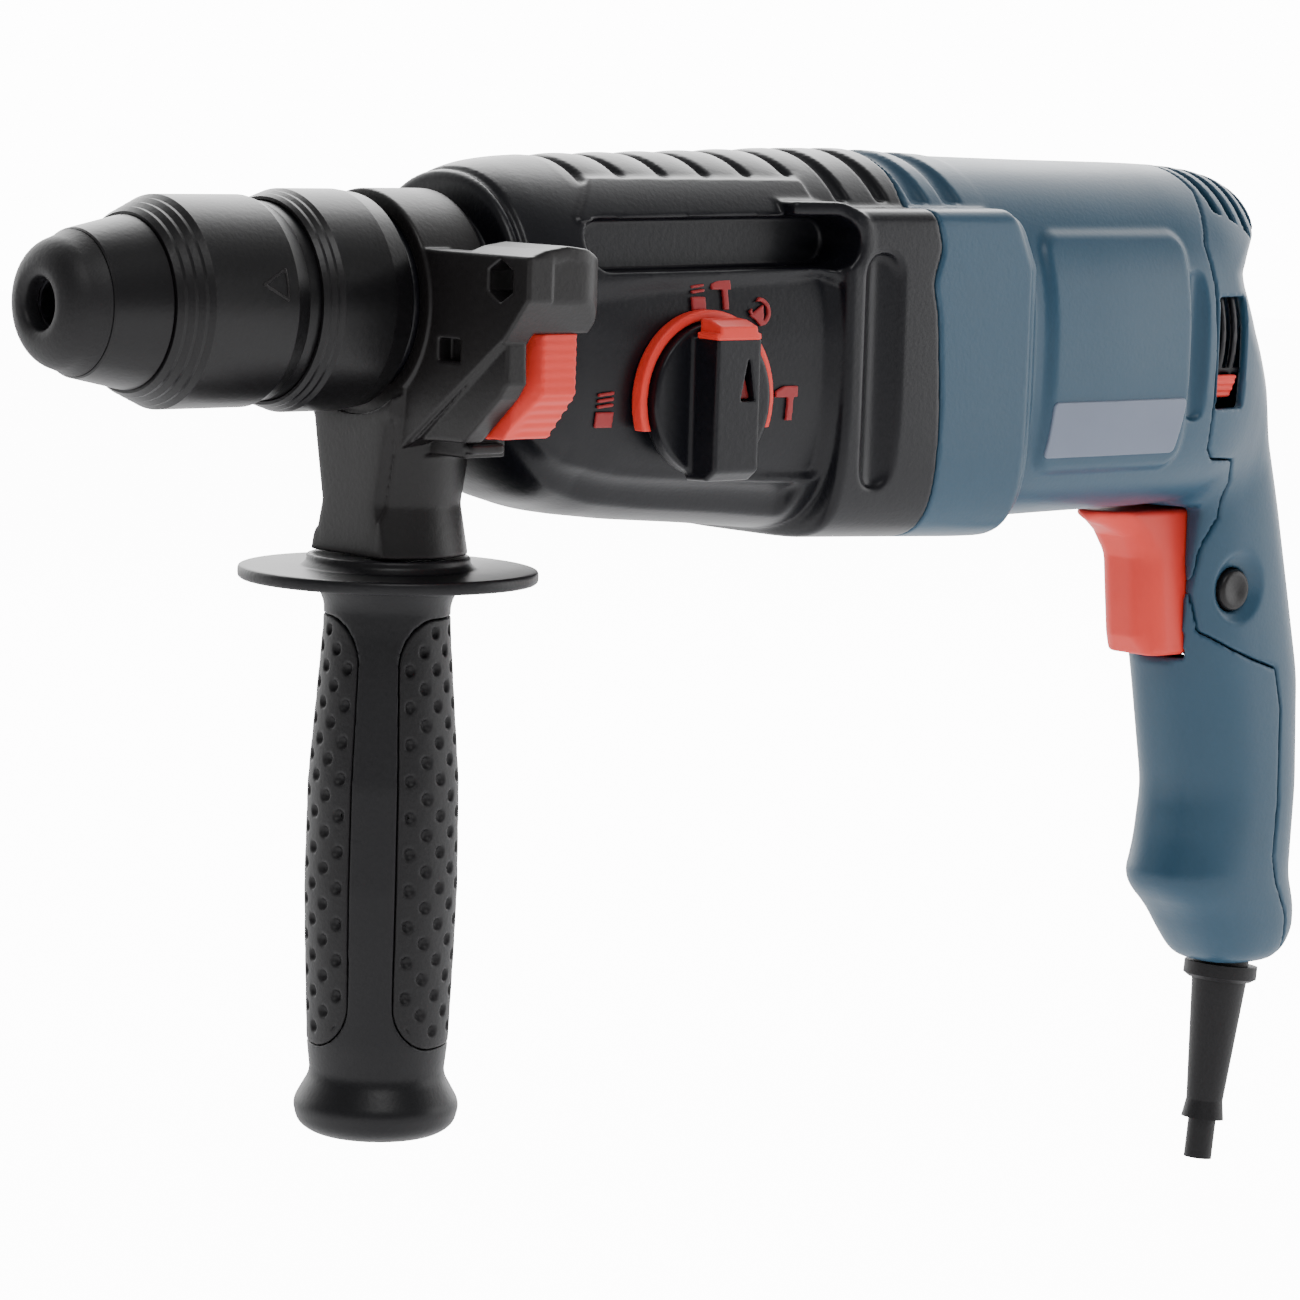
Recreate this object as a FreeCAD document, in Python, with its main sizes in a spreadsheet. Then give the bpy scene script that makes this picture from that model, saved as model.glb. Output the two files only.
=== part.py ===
"""Rotary hammer of the two-kilogram class with a quick-change chuck and a side handle.

Frame, in millimetres: the spindle axis is the X axis, the nose of the chuck is at X = 0 and the tool
bit points along -X. +Z is up, and -Y is the side that carries the mode selector and the lock button.
Every driving size is a named cell of the sheet "dims"; run this macro to write parts/NODE.step.
"""

import FreeCAD
import Part
import Sketcher
import math
import os
import re

V = FreeCAD.Vector
doc = FreeCAD.newDocument("rotary_hammer")

# ---------------------------------------------------------------- driving dimensions
SIZES = {
    "chuck": dict(
        bit_r=5.05, mouth_r=5.8, cap_end=9.2, cap_r=16.1, cap_front_r=7.4, cap_inner_r=13.2,
        cap_inner_x=4.2, cone_end=22.6, cone_r=19.2, socket_x=4.4, socket_neck_x=14, guide_end=33,
        socket_neck_r=9, socket_r=12.9, socket_end=60, socket_tail_end=66, socket_tail_r=9.95,
        ball_x=40, ball_r=3.5, ball_radius=7.3, sleeve_x=23, sleeve_lip_r=19.9, sleeve_full_x=31.5,
        sleeve_r=23.7, sleeve_taper_x=53, waist_x=57, waist_r=22.3, sleeve_end=63,
        sleeve_web_end=30, sleeve_inner_r=19, ring_x=60, ring_lip_r=23.3, ring_full_x=65.5,
        ring_r=25.1, ring_shoulder=79, ring_end=84, ring_end_r=24.4, ring_mouth_end=68,
        ring_mouth_r=22.6, chuck_spring_r=15.6, chuck_spring_wire=0.9, chuck_spring_x=30.3,
        chuck_spring_end=69.8),
    "spindle": dict(
        spindle_x=60, spindle_front_r=12.9, spindle_hub_x=70, spindle_hub_r=16, spindle_hub_end=86,
        spindle_mid_r=15, spindle_bore_front=10, spindle_bore_x=66.4, bolt_bore=8.1, cylinder_x=100,
        cylinder_bore=13.5, spindle_flange_x=126, spindle_flange_end=129, spindle_flange_r=21.5,
        spindle_rear_r=17, spindle_end=186, impact_x=58, impact_nose_r=5, impact_body_x=70,
        impact_body_end=92, impact_body_r=8.05, impact_tail_r=6, impact_end=104,
        impact_groove_x=79.6, groove_length=2.8, striker_x=118, striker_nose_r=6,
        striker_body_x=128, striker_end=152, striker_r=11, striker_groove_x=138.6, piston_x=120,
        piston_r=13.45, piston_bore=11.05, piston_floor_x=168, piston_end=176, fork_end=204.5,
        fork_half_z=7.5, fork_half_y=9.5, fork_gap_y=6.3, pin_x=197, pin_r=6, pin_hole_r=4.4,
        bush_x=176, bush_end=185.5, bush_r=21, front_bearing_x=113, front_bearing_end=123,
        front_bearing_r=23, seal_x=90, seal_end=96, clutch_ring_x=151, clutch_ring_end=158.5,
        clutch_ring_r=22.4, clutch_spring_r=19.4, clutch_spring_wire=1.1, running=0.05),
    "gears": dict(
        spindle_teeth=45, counter_pinion_teeth=11, spindle_module=1.1, counter_teeth=37,
        motor_pinion_teeth=8, counter_module=0.9, pressure_angle=30, addendum=0.8, dedendum=1,
        backlash_shift=0.12, spindle_gear_x=160, spindle_gear_end=170, counter_gear_x=221.5,
        counter_gear_end=229.5),
    "countershaft": dict(
        counter_x=146, counter_journal_r=4.9, counter_pinion_x=158, counter_pinion_end=171.5,
        counter_shank_r=6, counter_end=238, counter_bush_end=154, counter_bush_r=8, hub_r=11.5,
        hub_half=7.5, wobble_ball_circle=12, wobble_ball_r=2.2, wobble_balls=10, wobble_tilt=14,
        wobble_inner_r=14.35, wobble_ring_r=18.2, wobble_half=5.5, finger_r=2.5, finger_top=5,
        trunnion_r=3, trunnion_length=2.4, counter_bearing_x=231, counter_bearing_end=237,
        counter_bearing_r=9.5),
    "motor": dict(
        shaft_x=219.5, pinion_end=231, shaft_front_r=4, motor_bearing_x=240, motor_bearing_end=247,
        motor_bearing_r=11, shaft_mid_r=5, shaft_rear_x=337, shaft_rear_r=3.5, shaft_end=346,
        fan_x=250, fan_end=262, fan_r=26.5, fan_hub_r=9, fan_web=2.4, fan_blades=12, blade=1.6,
        rotor_x=268, rotor_end=312, rotor_r=17.4, rotor_slots=12, rotor_slot=2.6,
        rotor_slot_depth=6, end_turn=5.5, end_turn_r=15.6, stator_x=266, stator_end=314,
        stator_r=29.4, stator_bore=18, coil_r=25.6, coil_half_angle=33, commutator_x=321,
        commutator_end=335, commutator_r=11, rear_bearing_x=338.2, rear_bearing_end=344.2,
        rear_bearing_r=9.5, brush_plate_x=331.5, brush_plate_end=334.5, brush_plate_r=28,
        brush_plate_bore=12.5, holder_x=323, holder_end=331.5, holder_half=5.2, holder_top=26,
        brush_half=3.4, brush_inner=11.15, brush_outer=21.5, lever_x=343, lever_end=351,
        lever_r=35.2, lever_arm_r=29.5, lever_height=7, lever_angle=24),
    "housing": dict(
        wall=3, collar_x=86.5, collar_end=113.5, collar_r=21.5, collar_bore=17.6, rim_x=110.5,
        seam_x=246, seam_sag=11, half_width=38.5, flange_x=230.4, flange_end=247.6, boss_r=5,
        boss_top_y=31, boss_top_z=9, boss_bottom_y=25.5, boss_bottom_z=-46, screw_r=2.2,
        screw_head_r=4, screw_head_x=226, screw_end=268, groove_x=142, groove_in=29.2,
        groove_bottom=3.6, groove_top=14.4, scoop_x=186, scoop_in=20.8, scoop_bottom=-51,
        scoop_top=-41.4, knob_x=163, knob_z=-22, knob_hole_r=9.2, window_x=341, window_end=354.5,
        window_top=1, window_bottom=-31, vent_x=347, vent_pitch=6, vent_width=2.6, vent_bottom=14,
        plate_x=277, plate_right=329, plate_top=-25, plate_bottom=-40, plate_thick=0.5,
        web_front_x=146.5, web_rear_x=177, web=7, gap=0.15, notch_x=383, notch_z=5, notch_r=17),
    "handle": dict(
        trigger_open_top=-57.2, trigger_open_bottom=-97.5, trigger_half=9.6, trigger_x=342,
        trigger_end=361, trigger_top=-58, trigger_bottom=-96.5, trigger_beak=324, trigger_lean=4.5,
        plunger_r=3.4, plunger_end=366, switch_x=373.4, switch_end=390, switch_top=-60,
        switch_bottom=-98, switch_half=8, lock_x=370.5, lock_z=-79, lock_r=5.5, lock_out=17.4,
        lock_in=13.4, dish_r=9.4, dish_depth=1.1, capacitor_x=372, capacitor_end=396,
        capacitor_top=-104, capacitor_bottom=-122, capacitor_half=8, cord_x=391.5, cord_top=-150,
        cord_r=3.8, cord_end=-238, cord_lean=6.5, sleeve_flange_r=10, guard_top=-175,
        guard_flange_top=-184.2, guard_flange_end=-188.7, guard_r=7.5, guard_tip_r=5,
        guard_end=-227, cord_clamp_z=-160, cord_clamp_half=10, cord_clamp_depth=7),
    "selector": dict(
        dial_in=30.4, dial_face=34.6, dial_out=38.2, dial_r=18, bar_half=7.1, bar_out=46.5,
        bar_length=17.6, scale_in=34.6, scale_out=36.4, scale_r=20.4, scale_bore=18.5,
        button_out=45.8, button_in=38.8, button_top=21.2, button_root=14.5, button_half=5.6,
        selector_shaft_r=9, eccentric_r=2.5, eccentric_offset=4, eccentric_in=24.6, fork_top=-11,
        fork_bottom=-33.5, fork_slot=3.6, shift_x=157.8, shift_end=172.6, fork_in=26.2),
    "side_handle": dict(
        clamp_x=88, clamp_end=106, clamp_r=25.3, strap_x=92, strap_end=104, strap_r=22.4,
        strap_bore=21.56, plate_end=96, wing_y=59, wing_top=12.6, wing_corner=3, wing_knee_y=49,
        wing_knee_z=-7, wing_low_y=14, wing_low_z=-36, block_in=40, block_bottom=-6.5,
        block_end=116, neck_axis=98, neck_r=15.5, neck_top_z=-18, neck_waist_z=-46,
        neck_waist_r=16.4, neck_foot_z=-58.2, neck_foot_r=18.2, rod_y=49.2, rod_z=6.8, rod_flat=4.1,
        rib_x=96.6, rib_end=112, rib_top=-7, rib_knee=-19.5, rib_bottom=-30, rib_out=52, rib_in=36,
        button_travel=4, disc_top=-58.6, disc_z=-62, disc_under=-65, disc_r=34.7, disc_hub_r=19.6,
        grip_neck_r=14.4, grip_neck_z=-70, grip_r=17.2, grip_mid_z=-125, grip_waist_z=-179,
        grip_waist_r=15.2, grip_cap_z=-186, grip_cap_r=19.6, grip_end_z=-194, grip_end_r=15,
        pad_groove=1.6, band_half=4.6, band_turn=48.5, pad_top=-73, pad_bottom=-174, stud_r=4,
        stud_top=-27, stud_end=-96, nut_r=7.4),
}

sheet = doc.addObject("Spreadsheet::Sheet", "dims")
ALIASES = {}
row = 1
for group, cells in SIZES.items():
    sheet.set(f"A{row}", group)
    row += 1
    for alias, number in cells.items():
        sheet.set(f"A{row}", alias)
        sheet.set(f"B{row}", str(number))
        sheet.setAlias(f"B{row}", alias)
        ALIASES[alias] = f"B{row}"
        row += 1
doc.recompute()

pieces = []
WORD = re.compile(r"[a-z][a-z_]*[a-z]")


def size(alias):
    """The number in a named cell of the sheet."""
    return float(sheet.get(alias))


def bound(expression):
    """An expression on bare cell names, as FreeCAD writes it."""
    return WORD.sub(lambda word: "dims." + word.group(0) if word.group(0) in ALIASES else word.group(0),
                    expression)


def counter_z():
    """Height of the countershaft, from the teeth of its pinion and the spindle gear."""
    teeth = size("spindle_teeth") + size("counter_pinion_teeth")
    return -(teeth * size("spindle_module") / 2 + size("backlash_shift"))


def motor_z():
    """Height of the motor shaft, from the teeth of the motor pinion and the countershaft gear."""
    teeth = size("counter_teeth") + size("motor_pinion_teeth")
    return counter_z() + teeth * size("counter_module") / 2 + size("backlash_shift")


COUNTER_Z = counter_z()
MOTOR_Z = motor_z()
TURN_DOWN = FreeCAD.Rotation(V(0, 1, 0), 90)     # local X points along -Z
TURN_LEFT = FreeCAD.Rotation(V(0, 0, 1), -90)    # local X points along -Y


def piece(label, thing):
    """Registers a document object as the sub-part of that name."""
    thing.Label = label
    pieces.append(thing)
    return thing


def origin_plane(body, role):
    return next(item for item in body.Origin.OriginFeatures if item.Role == role)


def sketch_outline(body, name, points, role="XZ_Plane"):
    """A closed sketch whose corners are placed by expressions on the sheet."""
    sketch = body.newObject("Sketcher::SketchObject", name)
    sketch.AttachmentSupport = [(origin_plane(body, role), "")]
    sketch.MapMode = "FlatFace"
    count = len(points)
    start = [V(i + 1, 1 + (i * 7) % 5, 0) for i in range(count)]
    sketch.addGeometry([Part.LineSegment(start[i], start[(i + 1) % count]) for i in range(count)], False)
    rules = [Sketcher.Constraint("Coincident", i, 2, (i + 1) % count, 1) for i in range(count)]
    binds = []
    for i, (along, out) in enumerate(points):
        for kind, text, axis, now in (("DistanceX", along, -2, start[i].x),
            ("DistanceY", out, -1, start[i].y)):
            if text == "0":
                rules.append(Sketcher.Constraint("PointOnObject", i, 1, axis))
            else:
                binds.append((len(rules), bound(text)))
                rules.append(Sketcher.Constraint(kind, -1, 1, i, 1, now))
    sketch.addConstraint(rules)
    for i, text in binds:
        sketch.setExpression(f"Constraints[{i}]", text)
    return sketch


def turned(name, points, at=None, rotation=None):
    """A body turned round its local X axis from (distance, radius) corners."""
    body = doc.addObject("PartDesign::Body", name)
    profile = sketch_outline(body, name + "_profile", points)
    spin = body.newObject("PartDesign::Revolution", name + "_turn")
    spin.Profile = profile
    spin.ReferenceAxis = (profile, ["H_Axis"])
    spin.Angle = 360
    profile.Visibility = False
    body.Placement = FreeCAD.Placement(at or V(0, 0, 0), rotation or FreeCAD.Rotation())
    return body


def ring(name, x0, x1, bore, rim, at=None, rotation=None):
    """A plain turned ring between two distances and two radii."""
    return turned(name, [(x0, bore), (x1, bore), (x1, rim), (x0, rim)], at, rotation)


def block(name, low, high):
    """A Part::Box between two corners given as expressions."""
    box = doc.addObject("Part::Box", name)
    for side, axis, lo, hi in zip(("Length", "Width", "Height"), "xyz", low, high):
        box.setExpression(side, f"({bound(hi)}) - ({bound(lo)})")
        box.setExpression(f"Placement.Base.{axis}", bound(lo))
    return box


def rod(name, radius, length, at, direction=V(0, 0, 1)):
    """A Part::Cylinder from a point given as expressions, along a direction."""
    bar = doc.addObject("Part::Cylinder", name)
    bar.Placement.Rotation = FreeCAD.Rotation(V(0, 0, 1), direction)
    bar.setExpression("Radius", bound(radius))
    bar.setExpression("Height", bound(length))
    for axis, text in zip("xyz", at):
        bar.setExpression(f"Placement.Base.{axis}", bound(text))
    return bar


def ball(name, radius, at):
    sphere = doc.addObject("Part::Sphere", name)
    sphere.setExpression("Radius", bound(radius))
    sphere.Placement.Base = at
    return sphere


def cut(name, base, *tools):
    """Base minus every tool."""
    result = doc.addObject("Part::Cut", name)
    result.Base = base
    result.Tool = tools[0] if len(tools) == 1 else joined(name + "_tools", *tools)
    return result


def joined(name, *parts):
    result = doc.addObject("Part::MultiFuse", name)
    result.Shapes = list(parts)
    return result


def grouped(name, *parts):
    """Separate solids that share one node."""
    result = doc.addObject("Part::Compound", name)
    result.Links = list(parts)
    return result


def feature(name, shape):
    """A Part::Feature for a shape that neither sketches nor primitives can hold."""
    result = doc.addObject("Part::Feature", name)
    result.Shape = shape
    return result


# ---------------------------------------------------------------- lofted shells

def section(x, half_width, top, bottom, upper=2.3, lower=3.0, points=28):
    """An egg-shaped closed outline across the X axis; upper and lower set how square each half is."""
    middle = (top + bottom) / 2 if bottom < -top else 0
    corners = []
    for i in range(points):
        turn = 2 * math.pi * i / points
        power = 2 / (upper if math.sin(turn) >= 0 else lower)
        rise = top - middle if math.sin(turn) >= 0 else middle - bottom
        y = half_width * math.copysign(abs(math.cos(turn)) ** power, math.cos(turn))
        z = middle + rise * math.copysign(abs(math.sin(turn)) ** power, math.sin(turn))
        corners.append(V(x, y, z))
    curve = Part.BSplineCurve()
    curve.interpolate(corners, PeriodicFlag=True)
    return Part.Wire([curve.toShape()])


def level(z, front, back, half_width, square=2.5, points=28):
    """A superellipse outline across the Z axis between a front and a back X."""
    centre, reach = (front + back) / 2, (back - front) / 2
    corners = []
    for i in range(points):
        turn = 2 * math.pi * i / points
        x = centre + reach * math.copysign(abs(math.cos(turn)) ** (2 / square), math.cos(turn))
        y = half_width * math.copysign(abs(math.sin(turn)) ** (2 / square), math.sin(turn))
        corners.append(V(x, y, z))
    curve = Part.BSplineCurve()
    curve.interpolate(corners, PeriodicFlag=True)
    return Part.Wire([curve.toShape()])


def loft(wires):
    """Straight-sided solid through closed outlines."""
    return Part.makeLoft(wires, True, True)


# Each row: X, half width, top Z and bottom Z of the outer skin, from the front rim to the rear.
GEAR_SECTIONS = [(110.5, 29, 29, -29.2), (118, 31, 31.6, -39), (126, 32.4, 32.6, -46.2),
    (150, 34.6, 33.8, -51.8),
                 (190, 36.6, 34.8, -55), (225, 38.3, 35.4, -58.6), (252, 38.5, 35, -60.4)]
COLLAR_SECTIONS = [(232, 38.4, 35.3, -59.2), (252, 38.5, 34.8, -60.4), (269, 38, 34, -59.6)]
MOTOR_SECTIONS = [(262, 36, 33.4, -56.4), (300, 36, 33.2, -56.2), (335, 35, 32.8, -56),
    (356, 31.5, 31.4, -55),
                  (369, 26.5, 27.5, -52), (374, 22, 22.5, -48)]
# Each row: Z, front X, back X and half width of the grip's outer skin, from the top down.
GRIP_LEVELS = [(-8, 330, 371, 25), (-30, 338, 384, 22), (-57, 350, 395, 19), (-80, 353, 402, 17.6),
               (-104, 357.5, 407, 17.2), (-134, 363.4, 408, 17), (-150, 362, 407, 17.4),
               (-160, 357.6, 406.6, 18),
               (-166, 366.5, 409, 17), (-175, 374, 411, 15.5), (-182, 381, 402, 11)]


def skin(sections, inset, front=0.0, rear=0.0):
    """The loft through rows of sections, moved in by inset, with its ends moved in by front and rear."""
    rows = [[x, w - inset, t - inset, b + inset] for x, w, t, b in sections]
    rows[0][0] += front
    rows[-1][0] -= rear
    return loft([section(*row) for row in rows])


def grip_skin(inset):
    rows = [(z, f + inset, b - inset, w - inset) for z, f, b, w in GRIP_LEVELS]
    if inset:
        rows[-1] = (rows[-1][0] + inset,) + rows[-1][1:]
    return loft([level(*r) for r in rows])


def solid_box(x0, x1, y0, y1, z0, z1):
    return Part.makeBox(x1 - x0, y1 - y0, z1 - z0, V(x0, y0, z0))


def solid_rod(radius, start, end):
    axis = end - start
    return Part.makeCylinder(radius, axis.Length, start, axis)


def seam_front():
    """Everything in front of the seam between the gear housing and the motor housing."""
    sag, half = size("seam_sag"), size("half_width")
    radius = (half ** 2 + sag ** 2) / (2 * sag)
    centre = size("seam_x") - radius
    reach = 200
    drum = Part.makeCylinder(radius, 2 * reach, V(centre, 0, -reach))
    front = solid_box(-reach, centre, -reach, reach, -reach, reach)
    return drum.fuse(front)


def rear_knife():
    """Everything behind the seam between the motor housing and the rear cover."""
    edge = [(345, 60), (345, 22), (352, 16), (346, 4), (349, -34), (346, -46), (362, -48), (378, -56),
            (384, -66), (384, -92), (396, -96), (400, -130), (397, -165), (402, -190), (450, -190),
            (450, 60)]
    wire = Part.makePolygon([V(x, -80, z) for x, z in edge + edge[:1]])
    return Part.Face(wire).extrude(V(0, 160, 0))


def screw_places():
    rows = [("boss_top_y", "boss_top_z"), ("boss_bottom_y", "boss_bottom_z")]
    return [(side * size(y), size(z)) for side in (-1, 1) for y, z in rows]


def mirrored_pair(shape):
    """A shape with its mirror image across the XZ plane."""
    return [shape, shape.mirror(V(0, 0, 0), V(0, 1, 0))]


def make_gear_housing():
    wall, gap = size("wall"), size("gap")
    outside = skin(GEAR_SECTIONS, 0)
    room = skin(GEAR_SECTIONS, wall, front=wall)
    webs = []
    for start in (size("web_front_x"), size("web_rear_x")):
        webs.append(room.common(solid_box(start, start + size("web"), -60, 60, -80, 60)))
    front, bearing_end, rear = size("front_bearing_x"), size("front_bearing_end"), size("web_rear_x")
    seat = solid_rod(size("front_bearing_r") + wall, V(size("rim_x"), 0, 0), V(bearing_end, 0, 0))
    body = outside.common(seam_front()).cut(room).fuse(webs + [seat.common(outside)])
    collar = solid_rod(size("collar_r"), V(size("collar_x"), 0, 0), V(size("collar_end"), 0, 0))
    body = body.fuse(collar)
    head_x, post_end = size("screw_head_x"), size("flange_x") - gap
    for y, z in screw_places():
        post = solid_rod(size("boss_r"), V(head_x - 3 * wall, y, z), V(post_end, y, z))
        body = body.fuse(post.common(outside))
    grooves = []
    for name in ("groove", "scoop"):
        start, floor = size(name + "_x"), -size(name + "_in")
        low, high = size(name + "_bottom"), size(name + "_top")
        trough = solid_box(start - 2, head_x + 2, -60, floor + 2, low - 2, high + 2)
        body = body.fuse([side.common(outside) for side in mirrored_pair(trough)])
        grooves += mirrored_pair(solid_box(start, head_x, -60, floor, low, high))
    knob_x, knob_z = size("knob_x"), size("knob_z")
    holes = grooves + [
        solid_rod(size("collar_bore"), V(0, 0, 0), V(front + 1, 0, 0)),
        solid_rod(size("front_bearing_r") + gap / 3, V(front, 0, 0), V(bearing_end + 2, 0, 0)),
        solid_rod(size("clutch_ring_r") + 1.2, V(bearing_end, 0, 0), V(rear - 1, 0, 0)),
        solid_rod(size("bush_r") + gap / 3, V(rear - 2, 0, 0), V(rear + 12, 0, 0)),
        solid_rod(size("counter_bush_r") + gap / 3, V(size("counter_x") - 6, 0, COUNTER_Z),
                  V(size("counter_bush_end") + 1, 0, COUNTER_Z)),
        solid_rod(2 * size("counter_shank_r"), V(rear - 1, 0, COUNTER_Z), V(rear + 9, 0, COUNTER_Z)),
        solid_rod(size("knob_hole_r"), V(knob_x, -60, knob_z), V(knob_x, -25, knob_z)),
        solid_rod(size("scale_r") + 1, V(knob_x, -60, knob_z), V(knob_x, -size("dial_face"), knob_z)),
        solid_box(post_end, 300, -80, 80, -80, 80).common(skin(GEAR_SECTIONS, wall - 1)),
    ]
    for y, z in screw_places():
        holes.append(solid_rod(size("screw_r") + gap, V(200, y, z), V(260, y, z)))
        holes.append(solid_rod(size("screw_head_r") + gap, V(head_x - 4 * wall, y, z), V(head_x, y, z)))
    piece("gear_housing", feature("gear_housing", biggest(body.cut(holes))))


def biggest(shape):
    return max(shape.Solids, key=lambda solid: solid.Volume)


def blue_shell():
    """The motor housing and rear cover as one skin, with its hollow and openings, still in one piece."""
    wall, gap = size("wall"), size("gap")
    outside = skin(MOTOR_SECTIONS, 0).fuse([skin(COLLAR_SECTIONS, 0), grip_skin(0)])
    room = skin(MOTOR_SECTIONS, wall, rear=wall).fuse([skin(COLLAR_SECTIONS, wall), grip_skin(wall)])
    # The back of the motor housing is hollowed above the handle, for the web of the user's thumb.
    start = V(size("notch_x"), -60, size("notch_z"))
    end = V(size("notch_x"), 60, size("notch_z"))
    room = room.cut(solid_rod(size("notch_r") + wall, start, end))
    body = outside.cut([seam_front(), solid_rod(size("notch_r"), start, end)]).cut(room)
    axis = V(0, 0, MOTOR_Z)
    bearing_x, bearing_end = size("rear_bearing_x"), size("rear_bearing_end")
    seat = solid_rod(size("rear_bearing_r") + wall, axis + V(bearing_x, 0, 0),
                     axis + V(bearing_end + 2, 0, 0))
    bridge = solid_box(bearing_x + wall, bearing_end + 2, -60, 60, MOTOR_Z - 5, MOTOR_Z + 5)
    stator_bore = solid_rod(size("stator_r") + gap, axis, axis + V(400, 0, 0))
    ribs = [solid_box(size("stator_x"), size("stator_end"), y - 2, y + 2, -80, 60).cut(stator_bore)
            for y in (-16, 16)]
    body = body.fuse([inner.common(room) for inner in [seat, bridge] + ribs])
    screw_end = size("screw_end")
    for y, z in screw_places():
        post = solid_rod(size("boss_r"), V(size("flange_end") + gap, y, z), V(screw_end + 4, y, z))
        body = body.fuse(post.common(outside))
    lock_x, lock_z = size("lock_x"), size("lock_z")
    side = size("lock_out") + 0.2
    holes = [
        solid_rod(size("rear_bearing_r") + gap / 3, axis + V(300, 0, 0), axis + V(bearing_end, 0, 0)),
        solid_box(300, size("trigger_end") + 8, -size("trigger_half") - 0.6, size("trigger_half") + 0.6,
                  size("trigger_open_bottom"), size("trigger_open_top")),
        solid_rod(size("lock_r") + 0.1, V(lock_x, -60, lock_z), V(lock_x, -10, lock_z)),
        solid_rod(size("dish_r"), V(lock_x, -60, lock_z), V(lock_x, -side + size("dish_depth"), lock_z)),
        leaning(solid_rod(size("guard_r") + gap, V(size("cord_x"), 0, -200), V(size("cord_x"), 0, -172))),
    ]
    for y, z in screw_places():
        holes.append(solid_rod(size("screw_r") + gap, V(200, y, z), V(screw_end + 1, y, z)))
    window = solid_box(size("window_x"), size("window_end"), -60, -24, size("window_bottom"),
                       size("window_top"))
    holes += mirrored_pair(window)
    for i in range(4):
        x = size("vent_x") + i * size("vent_pitch")
        holes.append(solid_box(x, x + size("vent_width"), -24, 24, size("vent_bottom"), 60))
    return body.cut(holes)


def leaning(shape):
    """A shape of the cord, tipped forward about the place where the cord leaves the handle."""
    tipped = shape.copy()
    tipped.rotate(V(size("cord_x"), 0, size("guard_top")), V(0, 1, 0), size("cord_lean"))
    return tipped


def make_blue_housings():
    shell = blue_shell()
    knife = rear_knife()
    piece("motor_housing", feature("motor_housing", biggest(shell.cut(knife))))
    piece("rear_cover", feature("rear_cover", biggest(shell.common(knife))))
    grown = skin(MOTOR_SECTIONS, -size("plate_thick"))
    frame = solid_box(size("plate_x"), size("plate_right"), -60, 0, size("plate_bottom"), size("plate_top"))
    piece("name_plate", feature("name_plate", grown.common(frame).cut(skin(MOTOR_SECTIONS, 0))))


# ---------------------------------------------------------------- gears and springs

def gear_face(teeth, module, turn=0.0):
    """An involute gear outline in the YZ plane round the origin, with chords along each flank."""
    angle = math.radians(size("pressure_angle"))
    pitch_r = teeth * module / 2
    base_r = pitch_r * math.cos(angle)
    tip_r = pitch_r + size("addendum") * module
    root_r = pitch_r - size("dedendum") * module
    half = math.pi / (2 * teeth) + math.tan(angle) - angle
    flank = []
    steps = 3
    start_r = max(base_r, root_r)
    for i in range(steps + 1):
        r = start_r + (tip_r - start_r) * i / steps
        lean = math.acos(base_r / r)
        flank.append((r, half - (math.tan(lean) - lean)))
    corners = []
    for tooth in range(teeth):
        middle = turn + 2 * math.pi * tooth / teeth
        rising = [(root_r, half)] * (root_r < base_r) + flank
        corners += [(r, middle - a) for r, a in rising] + [(r, middle + a) for r, a in reversed(rising)]
    spots = [V(0, r * math.cos(a), r * math.sin(a)) for r, a in corners]
    return Part.Face(Part.makePolygon(spots + spots[:1]))


def gear_solid(teeth, module, x0, x1, z, turn=0.0):
    blank = gear_face(int(teeth), module, turn).extrude(V(x1 - x0, 0, 0))
    blank.translate(V(x0, 0, z))
    return blank


def spring_solid(radius, wire, x0, x1, turns):
    """A coil along X whose wire is round, with its ends inside x0 and x1."""
    reach = x1 - x0 - 2 * wire
    helix = Part.makeHelix(reach / turns, reach, radius)
    helix.rotate(V(0, 0, 0), V(0, 1, 0), 90)
    helix.translate(V(x0 + wire, 0, 0))
    start = helix.Edges[0].valueAt(helix.Edges[0].FirstParameter)
    lean = helix.Edges[0].tangentAt(helix.Edges[0].FirstParameter)
    loop = Part.Wire([Part.makeCircle(wire, start, lean)])
    return Part.Wire(helix.Edges).makePipeShell([loop], True, True)


def disc_springs(name, folds):
    """A stack of conical spring discs joined rim to rim, from the spindle flange to the clutch ring."""
    front = []
    for fold in range(folds + 1):
        x = f"spindle_flange_end + 0.2 + (clutch_ring_x - spindle_flange_end - 0.4) * {fold} / {folds}"
        r = "clutch_spring_r" + ("-" if fold % 2 else "+") + " clutch_spring_wire"
        front.append((x, r))
    back = [(x, r + " - clutch_spring_wire") for x, r in reversed(front)]
    return turned(name, front + back)


# ---------------------------------------------------------------- chuck and hammer mechanism

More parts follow.
